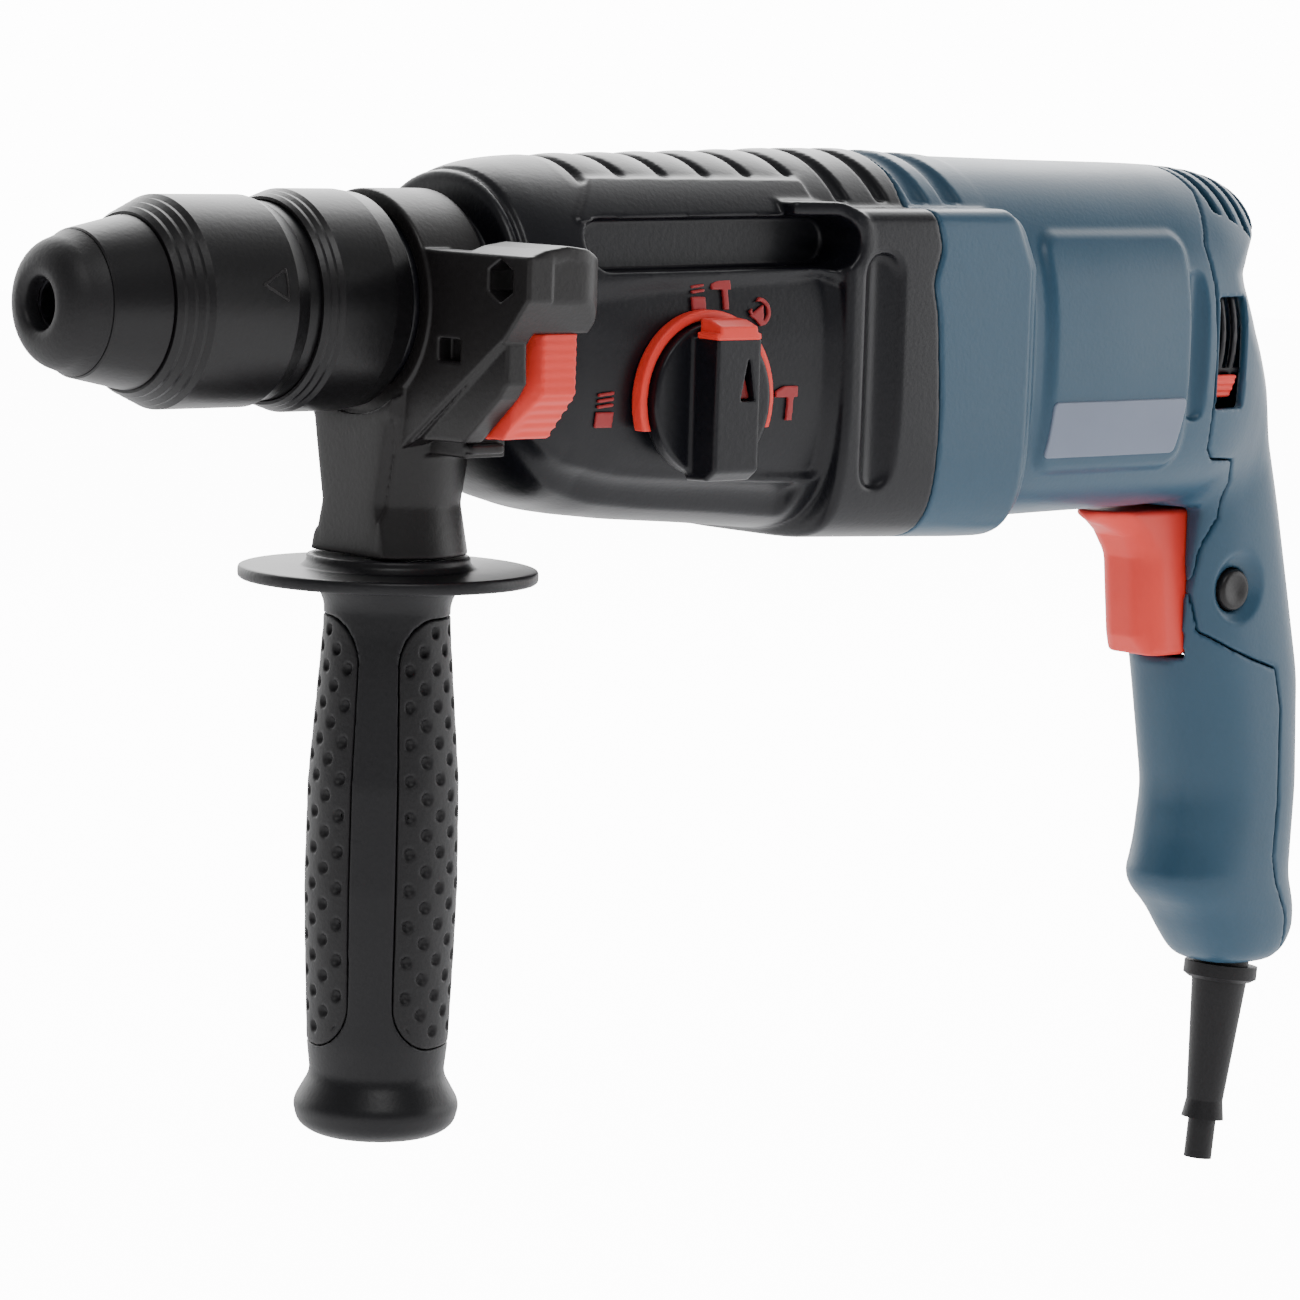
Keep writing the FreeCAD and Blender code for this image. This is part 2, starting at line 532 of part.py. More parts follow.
def make_chuck():
    piece("dust_cap", turned("dust_cap", [
        ("0", "cap_front_r"), ("1.1", "11.3"), ("2.9", "14"), ("5.6", "15.5"), ("cap_end", "cap_r"),
        ("cap_end", "cap_inner_r"), ("cap_inner_x", "cap_inner_r"), ("cap_inner_x", "mouth_r"),
        ("1", "mouth_r")]))
    piece("nose_ring", turned("nose_ring", [
        ("cap_end", "socket_r + running"), ("cone_end", "socket_r + running"), ("cone_end", "cone_r"),
        ("cap_end + 0.4", "cap_r + 0.35"), ("cap_end", "cap_r")]))
    socket = turned("socket_turning", [
        ("socket_x", "bit_r"), ("guide_end", "bit_r"), ("guide_end", "bit_r + 0.4"),
        ("socket_tail_end", "bit_r + 0.4"), ("socket_tail_end", "socket_tail_r"),
        ("socket_end", "socket_tail_r"), ("socket_end", "socket_r"), ("socket_neck_x", "socket_r"),
        ("socket_neck_x", "socket_neck_r"), ("socket_x", "socket_neck_r")])
    windows = rod("ball_windows", "ball_r + running", "4 * socket_r", ("ball_x", "0", "-2 * socket_r"))
    piece("tool_socket", cut("tool_socket", socket, windows))
    at = size("ball_radius")
    piece("locking_balls", grouped("locking_balls", *[
        ball(f"locking_ball_{i}", "ball_r", V(size("ball_x"), 0, side * at)) for i,
        side in enumerate((-1, 1))]))
    rise = "(sleeve_r - sleeve_lip_r) / 4"
    run = "(sleeve_full_x - sleeve_x) / 4"
    ribs = []
    for i in range(4):
        ribs += [(f"sleeve_x + {i} * {run}", f"sleeve_lip_r + {i} * {rise}"),
                 (f"sleeve_x + {i + 0.6} * {run}", f"sleeve_lip_r + {i + 1} * {rise}")]
    piece("locking_sleeve", turned("locking_sleeve", [
        ("sleeve_x", "socket_r + running"), *ribs, ("sleeve_taper_x", "sleeve_r"), ("waist_x", "waist_r"),
        ("sleeve_end", "waist_r"), ("sleeve_end", "sleeve_inner_r"), ("sleeve_web_end", "sleeve_inner_r"),
        ("sleeve_web_end", "socket_r + running")]))
    piece("sleeve_spring", feature("sleeve_spring", spring_solid(
        size("chuck_spring_r"), size("chuck_spring_wire"), size("chuck_spring_x"),
        size("chuck_spring_end"), 7)))
    rise, run = "(ring_r - ring_lip_r) / 3", "(ring_full_x - ring_x) / 3"
    ribs = []
    for i in range(3):
        ribs += [(f"ring_x + {i} * {run}", f"ring_lip_r + {i} * {rise}"),
                 (f"ring_x + {i + 0.6} * {run}", f"ring_lip_r + {i + 1} * {rise}")]
    piece("change_ring", turned("change_ring", [
        ("ring_x", "ring_mouth_r"), *ribs, ("ring_shoulder", "ring_r"), ("ring_end", "ring_end_r"),
        ("ring_end", "spindle_hub_r + running"), ("ring_mouth_end + 2", "spindle_hub_r + running"),
        ("ring_mouth_end + 2", "ring_mouth_r")]))


def make_spindle():
    piece("spindle", turned("spindle", [
        ("spindle_x", "spindle_bore_front"), ("spindle_x", "spindle_front_r"),
        ("spindle_hub_x", "spindle_front_r"), ("spindle_hub_x", "spindle_hub_r"),
        ("spindle_hub_end", "spindle_hub_r"), ("spindle_hub_end", "spindle_mid_r"),
        ("spindle_flange_x", "spindle_mid_r"), ("spindle_flange_x", "spindle_flange_r"),
        ("spindle_flange_end", "spindle_flange_r"), ("spindle_flange_end", "spindle_rear_r"),
        ("spindle_end", "spindle_rear_r"), ("spindle_end", "cylinder_bore"),
        ("cylinder_x", "cylinder_bore"),
        ("cylinder_x", "bolt_bore"), ("spindle_bore_x", "bolt_bore"),
        ("spindle_bore_x", "spindle_bore_front")]))
    gear = gear_solid(size("spindle_teeth"), size("spindle_module"), size("spindle_gear_x"),
                      size("spindle_gear_end"), 0, -math.pi / 2)
    bore = solid_rod(size("spindle_rear_r") + size("running"), V(100, 0, 0), V(200, 0, 0))
    piece("spindle_gear", feature("spindle_gear", gear.cut(bore)))
    piece("clutch_ring", ring("clutch_ring", "clutch_ring_x", "clutch_ring_end", "spindle_rear_r + running",
                              "clutch_ring_r"))
    piece("clutch_spring", disc_springs("clutch_spring", 8))
    piece("front_seal", ring("front_seal", "seal_x", "seal_end", "spindle_mid_r + running",
        "collar_bore - running"))
    for label, start, end, bore, rim in (
            ("spindle_front_bearing", "front_bearing_x", "front_bearing_end", "spindle_mid_r + running",
             "front_bearing_r"),
            ("spindle_rear_bush", "bush_x", "bush_end", "spindle_rear_r + running", "bush_r")):
        if label == "spindle_front_bearing":
            piece(label, bearing(label, start, end, bore, rim, V(0, 0, 0)))
        else:
            piece(label, ring(label, start, end, bore, rim))


def bearing(name, start, end, bore, rim, at):
    """A ball bearing: an inner ring, an outer ring and balls between them."""
    third = f"(({rim}) - ({bore})) * 0.3"
    inner = ring(name + "_inner", start, end, bore, f"({bore}) + {third}", at)
    outer = ring(name + "_outer", start, end, f"({rim}) - {third}", rim, at)
    low, high = number(bore), number(rim)
    middle = V((number(start) + number(end)) / 2, 0, 0) + at
    count = 8
    balls = []
    for i in range(count):
        turn = 2 * math.pi * i / count
        spot = middle + V(0, math.cos(turn), math.sin(turn)) * ((low + high) / 2)
        balls.append(ball(f"{name}_ball_{i}", f"(({rim}) - ({bore})) * 0.195", spot))
    return grouped(name, inner, outer, *balls)


def number(expression):
    """The value of a sum of cells and numbers, such as 'spindle_mid_r + running'."""
    total = 0.0
    for term in expression.replace("-", "+ -").split("+"):
        text = term.strip()
        sign = -1 if text.startswith("-") else 1
        text = text.lstrip("- ")
        if text:
            total += sign * (size(text) if text in ALIASES else float(text))
    return total


def make_hammer():
    piece("impact_bolt", turned("impact_bolt", [
        ("impact_x", "0"), ("impact_x", "impact_nose_r"), ("impact_body_x", "impact_nose_r"),
        ("impact_body_x", "impact_body_r"), ("impact_groove_x", "impact_body_r"),
        ("impact_groove_x", "impact_body_r - 1.4"),
        ("impact_groove_x + groove_length", "impact_body_r - 1.4"),
        ("impact_groove_x + groove_length", "impact_body_r"), ("impact_body_end", "impact_body_r"),
        ("impact_body_end", "impact_tail_r"), ("impact_end", "impact_tail_r"), ("impact_end", "0")]))
    piece("striker", turned("striker", [
        ("striker_x", "0"), ("striker_x", "striker_nose_r"), ("striker_body_x", "striker_nose_r"),
        ("striker_body_x", "striker_r"), ("striker_groove_x", "striker_r"),
        ("striker_groove_x", "striker_r - 2.6"), ("striker_groove_x + groove_length", "striker_r - 2.6"),
        ("striker_groove_x + groove_length", "striker_r"), ("striker_end", "striker_r"),
        ("striker_end", "0")]))
    cup = turned("piston_cup", [
        ("piston_x", "piston_bore"), ("piston_x", "piston_r"), ("piston_end", "piston_r"),
        ("piston_end", "0"),
        ("piston_floor_x", "0"), ("piston_floor_x", "piston_bore")])
    fork = block("piston_fork", ("piston_end - 2", "-fork_half_y", "-fork_half_z"),
                 ("fork_end", "fork_half_y", "fork_half_z"))
    slot = block("piston_slot", ("piston_end + 8", "-fork_gap_y", "-20"),
        ("fork_end + 5", "fork_gap_y", "20"))
    bore = rod("piston_pin_bore", "pin_r + running", "60", ("pin_x", "30", "0"), V(0, -1, 0))
    piece("piston", cut("piston", joined("piston_blank", cup, fork), slot, bore))
    pin = rod("pin_blank", "pin_r", "2 * fork_half_y", ("pin_x", "fork_half_y", "0"), V(0, -1, 0))
    hole = rod("pin_hole", "pin_hole_r", "40", ("pin_x", "0", "-20"))
    piece("piston_pin", cut("piston_pin", pin, hole))


def make_countershaft():
    place = V(0, 0, COUNTER_Z)
    centre = V(size("pin_x"), 0, COUNTER_Z)
    shaft = turned("countershaft_turning", [
        ("counter_x", "0"), ("counter_x", "counter_journal_r"), ("counter_pinion_end", "counter_journal_r"),
        ("counter_pinion_end", "counter_shank_r"), ("counter_gear_end + 0.8", "counter_shank_r"),
        ("counter_gear_end + 0.8", "counter_journal_r"), ("counter_end", "counter_journal_r"),
        ("counter_end", "0")], place)
    teeth = gear_solid(size("counter_pinion_teeth"), size("spindle_module"), size("counter_pinion_x"),
                       size("counter_pinion_end"), COUNTER_Z,
                       math.pi / 2 + math.pi / size("counter_pinion_teeth"))
    piece("countershaft", joined("countershaft", shaft, feature("counter_pinion", teeth)))
    gear = gear_solid(size("counter_teeth"), size("counter_module"), size("counter_gear_x"),
                      size("counter_gear_end"), COUNTER_Z, math.pi / 2)
    bore = solid_rod(size("counter_shank_r") + size("running"), place, place + V(300, 0, 0))
    holes = [solid_rod(2.4, place + V(200, 0, 0) + o, place + V(250, 0, 0) + o) for o in (
        V(0, 11 * math.cos(a), 11 * math.sin(a)) for a in (math.radians(60 * i + 30) for i in range(6)))]
    piece("countershaft_gear", feature("countershaft_gear", gear.cut([bore] + holes)))
    lean = FreeCAD.Rotation(V(0, 1, 0), size("wobble_tilt"))
    race = doc.addObject("Part::Torus", "wobble_race")
    race.Placement = FreeCAD.Placement(centre, lean * FreeCAD.Rotation(V(0, 1, 0), 90))
    race.setExpression("Radius1", bound("wobble_ball_circle"))
    race.setExpression("Radius2", bound("wobble_ball_r + running"))
    hub = ring("wobble_hub_blank", "pin_x - hub_half", "pin_x + hub_half", "counter_shank_r + running",
        "hub_r", place)
    balls = [cut("wobble_hub_body", hub, race)]
    count = int(size("wobble_balls"))
    for i in range(count):
        turn = 2 * math.pi * i / count
        spot = lean.multVec(V(0, math.cos(turn), math.sin(turn)) * size("wobble_ball_circle"))
        balls.append(ball(f"wobble_ball_{i}", "wobble_ball_r", centre + spot))
    piece("wobble_hub", grouped("wobble_hub", *balls))
    disc = rod("wobble_disc", "wobble_ring_r", "2 * wobble_half",
        ("pin_x - wobble_half", "0", str(COUNTER_Z)),
               V(1, 0, 0))
    finger = rod("wobble_finger", "finger_r", f"finger_top - {COUNTER_Z + size('wobble_inner_r') + 2}",
                 ("pin_x", "0", str(COUNTER_Z + size("wobble_inner_r") + 2)))
    hollow = ball("wobble_hollow", "wobble_inner_r", centre)
    trunnions = rod("wobble_trunnions", "trunnion_r", "2 * wobble_ring_r + 2 * trunnion_length",
                    ("pin_x", "-wobble_ring_r - trunnion_length", str(COUNTER_Z)), V(0, 1, 0))
    piece("wobble_ring", cut("wobble_ring", joined("wobble_blank", disc, finger, trunnions), hollow))
    piece("countershaft_bush", ring("countershaft_bush", "counter_x + 0.6", "counter_bush_end",
                                    "counter_journal_r + running", "counter_bush_r", place))
    piece("countershaft_bearing", bearing("countershaft_bearing", "counter_bearing_x",
        "counter_bearing_end",
                                          "counter_journal_r + running", "counter_bearing_r", place))


def make_flange():
    """The die-cast plate clamped between the two housings; it carries the inner bearings."""
    gap = size("gap")
    motor, counter = V(0, 0, MOTOR_Z), V(0, 0, COUNTER_Z)
    fit = size("wall") + gap
    slab = solid_box(size("flange_x"), size("flange_end"), -60, 60, -80, 60)
    plate = skin(GEAR_SECTIONS, fit).common(skin(COLLAR_SECTIONS, fit, front=-5)).common(slab)
    holes = [
        solid_rod(size("counter_bearing_r") + gap / 3, counter,
        counter + V(size("counter_bearing_end") + 0.1, 0, 0)),
        solid_rod(size("counter_journal_r") + 1.5, counter, counter + V(size("counter_end") + 0.6, 0, 0)),
        solid_rod(size("motor_bearing_r") + gap / 3, motor + V(size("motor_bearing_x"), 0, 0),
        motor + V(300, 0, 0)),
        solid_rod(size("shaft_front_r") + 2, motor, motor + V(300, 0, 0)),
    ]
    for y, z in screw_places():
        holes.append(solid_rod(size("screw_r") + gap, V(200, y, z), V(300, y, z)))
    piece("intermediate_flange", feature("intermediate_flange", plate.cut(holes)))


# ---------------------------------------------------------------- motor

def make_motor():
    place = V(0, 0, MOTOR_Z)
    shaft = turned("shaft_turning", [
        ("pinion_end - 0.5", "0"), ("pinion_end - 0.5", "shaft_front_r"),
        ("motor_bearing_end", "shaft_front_r"), ("motor_bearing_end", "shaft_mid_r"),
        ("shaft_rear_x", "shaft_mid_r"), ("shaft_rear_x", "shaft_rear_r"),
        ("shaft_end", "shaft_rear_r"), ("shaft_end", "0")], place)
    first_tooth = -math.pi / 2 + math.pi / size("motor_pinion_teeth")
    teeth = gear_solid(size("motor_pinion_teeth"), size("counter_module"), size("shaft_x"),
                       size("pinion_end"), MOTOR_Z, first_tooth)
    piece("armature_shaft", joined("armature_shaft", shaft, feature("motor_pinion", teeth)))
    tight = "shaft_mid_r + running"
    core = ring("rotor_blank", "rotor_x", "rotor_end", tight, "rotor_r", place)
    slots = []
    for i in range(int(size("rotor_slots"))):
        turn = 360 * i / size("rotor_slots")
        slot = Part.makeBox(60, size("rotor_slot"), size("rotor_slot_depth") + 2,
                            V(size("rotor_x") - 5, -size("rotor_slot") / 2,
                              size("rotor_r") - size("rotor_slot_depth")))
        slot.rotate(V(0, 0, 0), V(1, 0, 0), turn)
        slot.translate(place)
        slots.append(slot)
    piece("rotor_core", cut("rotor_core", core, feature("rotor_slots_tool", Part.makeCompound(slots))))
    front_turns = ring("front_end_turns", "rotor_x - end_turn", "rotor_x", tight, "end_turn_r", place)
    rear_turns = ring("rear_end_turns", "rotor_end", "rotor_end + end_turn", tight, "end_turn_r", place)
    piece("rotor_windings", grouped("rotor_windings", front_turns, rear_turns))
    bars = []
    count = 24
    for i in range(count):
        groove = Part.makeBox(40, 0.5, 2, V(size("commutator_x") - 5, -0.25, size("commutator_r") - 1))
        groove.rotate(V(0, 0, 0), V(1, 0, 0), 360 * i / count)
        groove.translate(place)
        bars.append(groove)
    drum = ring("commutator_blank", "commutator_x", "commutator_end", tight, "commutator_r", place)
    piece("commutator", cut("commutator", drum, feature("commutator_grooves", Part.makeCompound(bars))))
    hub = ring("fan_hub", "fan_x", "fan_end", tight, "fan_hub_r", place)
    web = ring("fan_web_disc", "fan_end - fan_web", "fan_end", "fan_hub_r - 1", "fan_r", place)
    blades = []
    for i in range(int(size("fan_blades"))):
        vane = Part.makeBox(size("fan_end") - size("fan_x") - 1, size("blade"),
                            size("fan_r") - size("fan_hub_r"),
                            V(size("fan_x"), -size("blade") / 2, size("fan_hub_r") - 0.5))
        vane.rotate(V(0, 0, 0), V(1, 0, 0), 360 * i / size("fan_blades"))
        vane.translate(place)
        blades.append(vane)
    piece("cooling_fan", joined("cooling_fan", hub, web, feature("fan_vanes", blades[0].fuse(blades[1:]))))
    piece("armature_front_bearing", bearing("armature_front_bearing", "motor_bearing_x",
                                            "motor_bearing_end", "shaft_front_r + running",
                                            "motor_bearing_r", place))
    piece("armature_rear_bearing", bearing("armature_rear_bearing", "rear_bearing_x", "rear_bearing_end",
                                           "shaft_rear_r + running", "rear_bearing_r", place))
    make_stator(place)
    make_brush_gear(place)


def make_stator(place):
    blank = ring("stator_blank", "stator_x", "stator_end", "stator_bore", "stator_r", place)
    angle = math.radians(size("coil_half_angle"))
    reach, inner = size("coil_r"), size("stator_bore")
    windows, coils = [], []
    for middle in (0, math.pi):
        spots = []
        for r, a in ((inner - 2, -angle), (reach, -angle), (reach, angle), (inner - 2, angle)):
            spots.append(V(0, r * math.cos(middle + a), r * math.sin(middle + a)))
        bow = [V(0, reach * math.cos(middle), reach * math.sin(middle)),
               V(0, (inner + 0.5) * math.cos(middle), (inner + 0.5) * math.sin(middle))]
        edges = [Part.LineSegment(spots[0], spots[1]).toShape(),
                 Part.Arc(spots[1], bow[0], spots[2]).toShape(),
                 Part.LineSegment(spots[2], spots[3]).toShape(),
                 Part.Arc(spots[3], bow[1] * ((inner - 2) / (inner + 0.5)), spots[0]).toShape()]
        face = Part.Face(Part.Wire(edges))
        window = face.extrude(V(80, 0, 0))
        window.translate(place + V(250, 0, 0))
        windows.append(window)
        coil = face.extrude(V(size("stator_end") - size("stator_x") + 6, 0, 0))
        coil.translate(place + V(size("stator_x") - 0.6, 0, 0))
        keep = solid_rod(reach - 0.4, place, place + V(400, 0, 0)).cut(
            solid_rod(inner + 0.6, place, place + V(400, 0, 0)))
        coils.append(coil.common(keep))
    piece("stator_core", cut("stator_core", blank, feature("coil_windows", Part.makeCompound(windows))))
    piece("field_coils", feature("field_coils", Part.makeCompound(coils)))


def make_brush_gear(place):
    plate = ring("brush_plate_blank", "brush_plate_x", "brush_plate_end", "brush_plate_bore",
                 "brush_plate_r", place)
    shells, hollows, brushes = [], [], []
    for side in (-1, 1):
        base = MOTOR_Z + side * size("brush_plate_bore")
        top = MOTOR_Z + side * size("holder_top")
        low, high = min(base, top), max(base, top)
        half, inner = size("holder_half"), size("brush_half")
        shells.append(solid_box(size("holder_x"), size("holder_end") + 0.5, -half, half, low, high))
        middle = (size("holder_x") + size("holder_end")) / 2
        hollows.append(solid_box(middle - inner - 0.1, middle + inner + 0.1, -inner - 0.1, inner + 0.1,
                                 low - 1, high - 1.2 if side > 0 else high + 1))
        ends = sorted((MOTOR_Z + side * size("brush_inner"), MOTOR_Z + side * size("brush_outer")))
        brushes.append(solid_box(middle - inner, middle + inner, -inner, inner, *ends))
    arm_turn = 180 + size("lever_angle")
    arm = solid_box(size("brush_plate_end") - 0.5, size("lever_end") - 1, size("brush_plate_r") - 3.5,
                    size("lever_arm_r"), -2.6, 2.6)
    arm.rotate(V(0, 0, 0), V(1, 0, 0), arm_turn)
    arm.translate(place)
    frame = joined("brush_ring_blank", plate, feature("brush_holders", shells[0].fuse(shells[1:] + [arm])))
    piece("brush_ring", cut("brush_ring", frame, feature("brush_tunnels", Part.makeCompound(hollows))))
    piece("carbon_brushes", feature("carbon_brushes", Part.makeCompound(brushes)))
    lever = solid_box(size("lever_x"), size("lever_end"), size("lever_arm_r") + 0.02, size("lever_r"),
                      -size("lever_height") / 2, size("lever_height") / 2)
    lever.rotate(V(0, 0, 0), V(1, 0, 0), arm_turn)
    lever.translate(place)
    piece("direction_lever", feature("direction_lever", lever))


# ---------------------------------------------------------------- controls

def make_selector():
    here = V(size("knob_x"), 0, size("knob_z"))
    dial = turned("dial_turning", [
        ("dial_in", "0"), ("dial_in", "selector_shaft_r"), ("dial_face", "selector_shaft_r"),
        ("dial_face", "dial_r"), ("dial_out - 1", "dial_r"), ("dial_out", "dial_r - 1"), ("dial_out", "0")],
        here, TURN_LEFT)
    bar = block("dial_bar", ("knob_x - bar_half", "-bar_out", "knob_z - bar_length"),
                ("knob_x + bar_half", "-dial_out + 1", "knob_z + bar_length"))
    pocket = block("button_pocket",
                   ("knob_x - button_half - gap", "-button_out - gap", "knob_z + button_root - 4.2"),
                   ("knob_x + button_half + gap", "-button_in + gap", "knob_z + 30"))
    eccentric = rod("eccentric", "eccentric_r", "dial_in - eccentric_in + 1",
                    ("knob_x", "-eccentric_in", "knob_z + eccentric_offset"), V(0, -1, 0))
    piece("selector_knob", cut("selector_knob", joined("knob_blank", dial, bar, eccentric), pocket))
    piece("selector_button", block("selector_button",
                                   ("knob_x - button_half", "-button_out", "knob_z + button_root"),
                                   ("knob_x + button_half", "-button_in", "knob_z + button_top")))
    band = ring("scale_blank", "scale_in", "scale_out", "scale_bore", "scale_r", here, TURN_LEFT)
    lower = block("scale_cut", ("knob_x - 40", "-60", "knob_z - 60"), ("knob_x + 40", "-20", "knob_z - 7"))
    piece("mode_scale", cut("mode_scale", band, lower))
    piece("shift_plate", cut("shift_plate", block(
        "shift_blank", ("shift_x", "-fork_in - 2", "fork_bottom"),
        ("shift_end", "-fork_in + 0.4", "fork_top")),
        block("shift_slot", ("knob_x - fork_slot", "-60", "fork_bottom + 3"),
              ("knob_x + fork_slot", "0", "fork_top - 3"))))


def make_trigger():
    lean = size("trigger_lean")
    outline = [(size("trigger_beak"), size("trigger_top")), (size("trigger_end"), size("trigger_top")),
               (size("trigger_end"), size("trigger_bottom")),
               (size("trigger_x") + lean, size("trigger_bottom")),
               (size("trigger_x") + lean / 2, -78), (size("trigger_x"), -68),
               (size("trigger_x") - 4, size("trigger_top") - 4),
               (size("trigger_beak") + 6, size("trigger_top") - 1.6)]
    half = size("trigger_half")
    wire = Part.makePolygon([V(x, -half, z) for x, z in outline + outline[:1]])
    body = Part.Face(wire).extrude(V(0, 2 * half, 0))
    middle = size("lock_z")
    plunger = solid_rod(size("plunger_r"), V(size("trigger_end") - 1, 0, middle),
                        V(size("plunger_end"), 0, middle))
    piece("trigger", feature("trigger", body.fuse(plunger)))
    spring = spring_solid(4.6, 0.5, size("trigger_end") + 0.1, size("switch_x") - 0.1, 5)
    spring.translate(V(0, 0, middle))
    piece("trigger_spring", feature("trigger_spring", spring))
    piece("switch_body", block("switch_body", ("switch_x", "-switch_half", "switch_bottom"),
                               ("switch_end", "switch_half", "switch_top")))
    piece("capacitor", block("capacitor", ("capacitor_x", "-capacitor_half", "capacitor_bottom"),
                             ("capacitor_end", "capacitor_half", "capacitor_top")))
    here = V(size("lock_x"), 0, size("lock_z"))
    piece("lock_button", turned("lock_button", [
        ("lock_in", "0"), ("lock_in", "lock_r"), ("lock_out - 1", "lock_r"), ("lock_out", "lock_r - 1"),
        ("lock_out", "0")], here, TURN_LEFT))


def make_cord():
    lean = FreeCAD.Rotation(V(0, 1, 0), size("cord_lean"))
    x, pivot = size("cord_x"), size("guard_top")
    tipped = FreeCAD.Placement(V(0, 0, 0), lean, V(x, 0, pivot)) * FreeCAD.Placement(V(x, 0, 0), TURN_DOWN)
    guard = turned("cord_guard", [
        ("-guard_top", "cord_r + running"), ("-guard_top", "guard_r"), ("-guard_flange_top", "guard_r"),
        ("-guard_flange_top", "sleeve_flange_r"), ("-guard_flange_end - 1", "sleeve_flange_r"),
        ("-guard_flange_end", "sleeve_flange_r - 1.6"), ("-guard_flange_end", "guard_r"),
        ("-guard_end - 5", "guard_tip_r"), ("-guard_end", "guard_tip_r + 0.8"),
        ("-guard_end", "cord_r + running")])
    guard.Placement = tipped
    piece("cord_guard", guard)
    cord = turned("power_cord", [("-cord_top", "0"), ("-cord_top", "cord_r"), ("-cord_end", "cord_r"),
                                 ("-cord_end", "0")])
    cord.Placement = tipped
    piece("power_cord", cord)
    half, low = size("cord_clamp_half"), size("cord_clamp_z")
    piece("cord_clamp", feature("cord_clamp", solid_box(
        x - half, x + half, -size("cord_r") - 4.5, -size("cord_r"), low, low + size("cord_clamp_depth"))))


# ---------------------------------------------------------------- side handle

def housing_sweep():
    """The room that the gear housing's nose takes as the side handle swings round it."""
    near, far = GEAR_SECTIONS[0], GEAR_SECTIONS[1]
    clear = 5
    start = near[0] - size("gap")
    return Part.makeCone(-near[3] + clear, -far[3] + clear, far[0] - start, V(start, 0, 0), V(1, 0, 0))


def make_side_handle():
    x, end = size("clamp_x"), size("plate_end")
    y, top = -size("wing_y"), size("wing_top")
    hoop = solid_rod(size("clamp_r"), V(x, 0, 0), V(size("clamp_end"), 0, 0))
    wing = [(0, top), (y, top), (y, size("wing_corner")), (-size("wing_knee_y"), size("wing_knee_z")),
            (-size("wing_low_y"), size("wing_low_z")), (12, size("wing_low_z")), (20, -20)]
    wing_loop = Part.makePolygon([V(x + 1, a, b) for a, b in wing + wing[:1]])
    plate = Part.Face(wing_loop).extrude(V(end - x - 1, 0, 0))
    box = solid_box(x + 1, size("block_end"), y, -size("block_in"), size("block_bottom"), top)
    shelf = solid_box(end - 1, size("rim_x") - 0.6, -size("rib_in") - 4, -10, size("rib_bottom") - 5,
                      size("rib_bottom") - 0.3)
    web = solid_box(end - 1, size("clamp_end"), -size("rib_in") + size("button_travel") + 0.5, -8,
                    size("rib_bottom") - 4, 0)
    levels = [(size("neck_top_z"), size("neck_r")), (size("neck_waist_z"), size("neck_waist_r")),
              (size("neck_foot_z"), size("neck_foot_r"))]
    neck = loft([Part.Wire([Part.makeCircle(r, V(size("neck_axis"), 0, z))]) for z, r in levels])
    body = hoop.fuse([plate, box, shelf, web, neck])
    gap = size("gap")
    hexagon = []
    for i in range(7):
        turn = math.radians(60 * i + 90)
        hexagon.append(V(0, -size("rod_y") + size("rod_flat") / math.cos(math.pi / 6) * math.cos(turn),
                         size("rod_z") + size("rod_flat") / math.cos(math.pi / 6) * math.sin(turn)))
    rod_hole = Part.Face(Part.makePolygon(hexagon)).extrude(V(200, 0, 0))
    cuts = [
        rod_hole,
        solid_rod(size("strap_r") + gap / 3, V(0, 0, 0), V(200, 0, 0)),
        solid_rod(size("stud_r") + gap, V(size("neck_axis"), 0, -80), V(size("neck_axis"), 0, -20)),
        solid_rod(size("nut_r") + gap, V(size("neck_axis"), 0, size("stud_top") - 7),
                  V(size("neck_axis"), 0, size("stud_top") + 3)),
        solid_rod(size("ring_r") + 1, V(0, 0, 0), V(x, 0, 0)),
        housing_sweep(),
    ]
    shell = body.cut(cuts)
    lip = solid_rod(size("clamp_r"), V(x, 0, 0), V(x + 3, 0, 0)).cut(
        solid_rod(size("collar_r") + gap, V(0, 0, 0), V(200, 0, 0)))
    piece("handle_clamp", feature("handle_clamp", shell.fuse(lip)))
    piece("clamp_strap", ring("clamp_strap", "strap_x", "strap_end", "strap_bore", "strap_r"))
    stud = turned("stud_turning", [
        ("-stud_top", "0"), ("-stud_top", "stud_r"), ("-stud_end", "stud_r"), ("-stud_end", "0")],
        V(size("neck_axis"), 0, 0), TURN_DOWN)
    spots = [V(size("neck_axis") + size("nut_r") * math.cos(math.radians(60 * i)),
               size("nut_r") * math.sin(math.radians(60 * i)), size("stud_top") - 6) for i in range(7)]
    head = Part.Face(Part.makePolygon(spots)).extrude(V(0, 0, 6))
    piece("clamp_bolt", joined("clamp_bolt", stud, feature("bolt_head", head)))
    make_depth_button()
    make_grip()


def make_depth_button():
    """The ribbed push button that frees the depth stop rod."""
    outer, inner = -size("rib_out"), -size("rib_in")
    top, knee, bottom = size("rib_top"), size("rib_knee"), size("rib_bottom")
    side = [(outer, top), (outer, knee), (outer + 11, bottom), (inner, bottom), (inner, top)]
    face = Part.Face(Part.makePolygon([V(size("rib_x"), a, b) for a, b in side + side[:1]]))
    solid = face.extrude(V(size("rib_end") - size("rib_x"), 0, 0))
    piece("depth_stop_button", feature("depth_stop_button", solid))


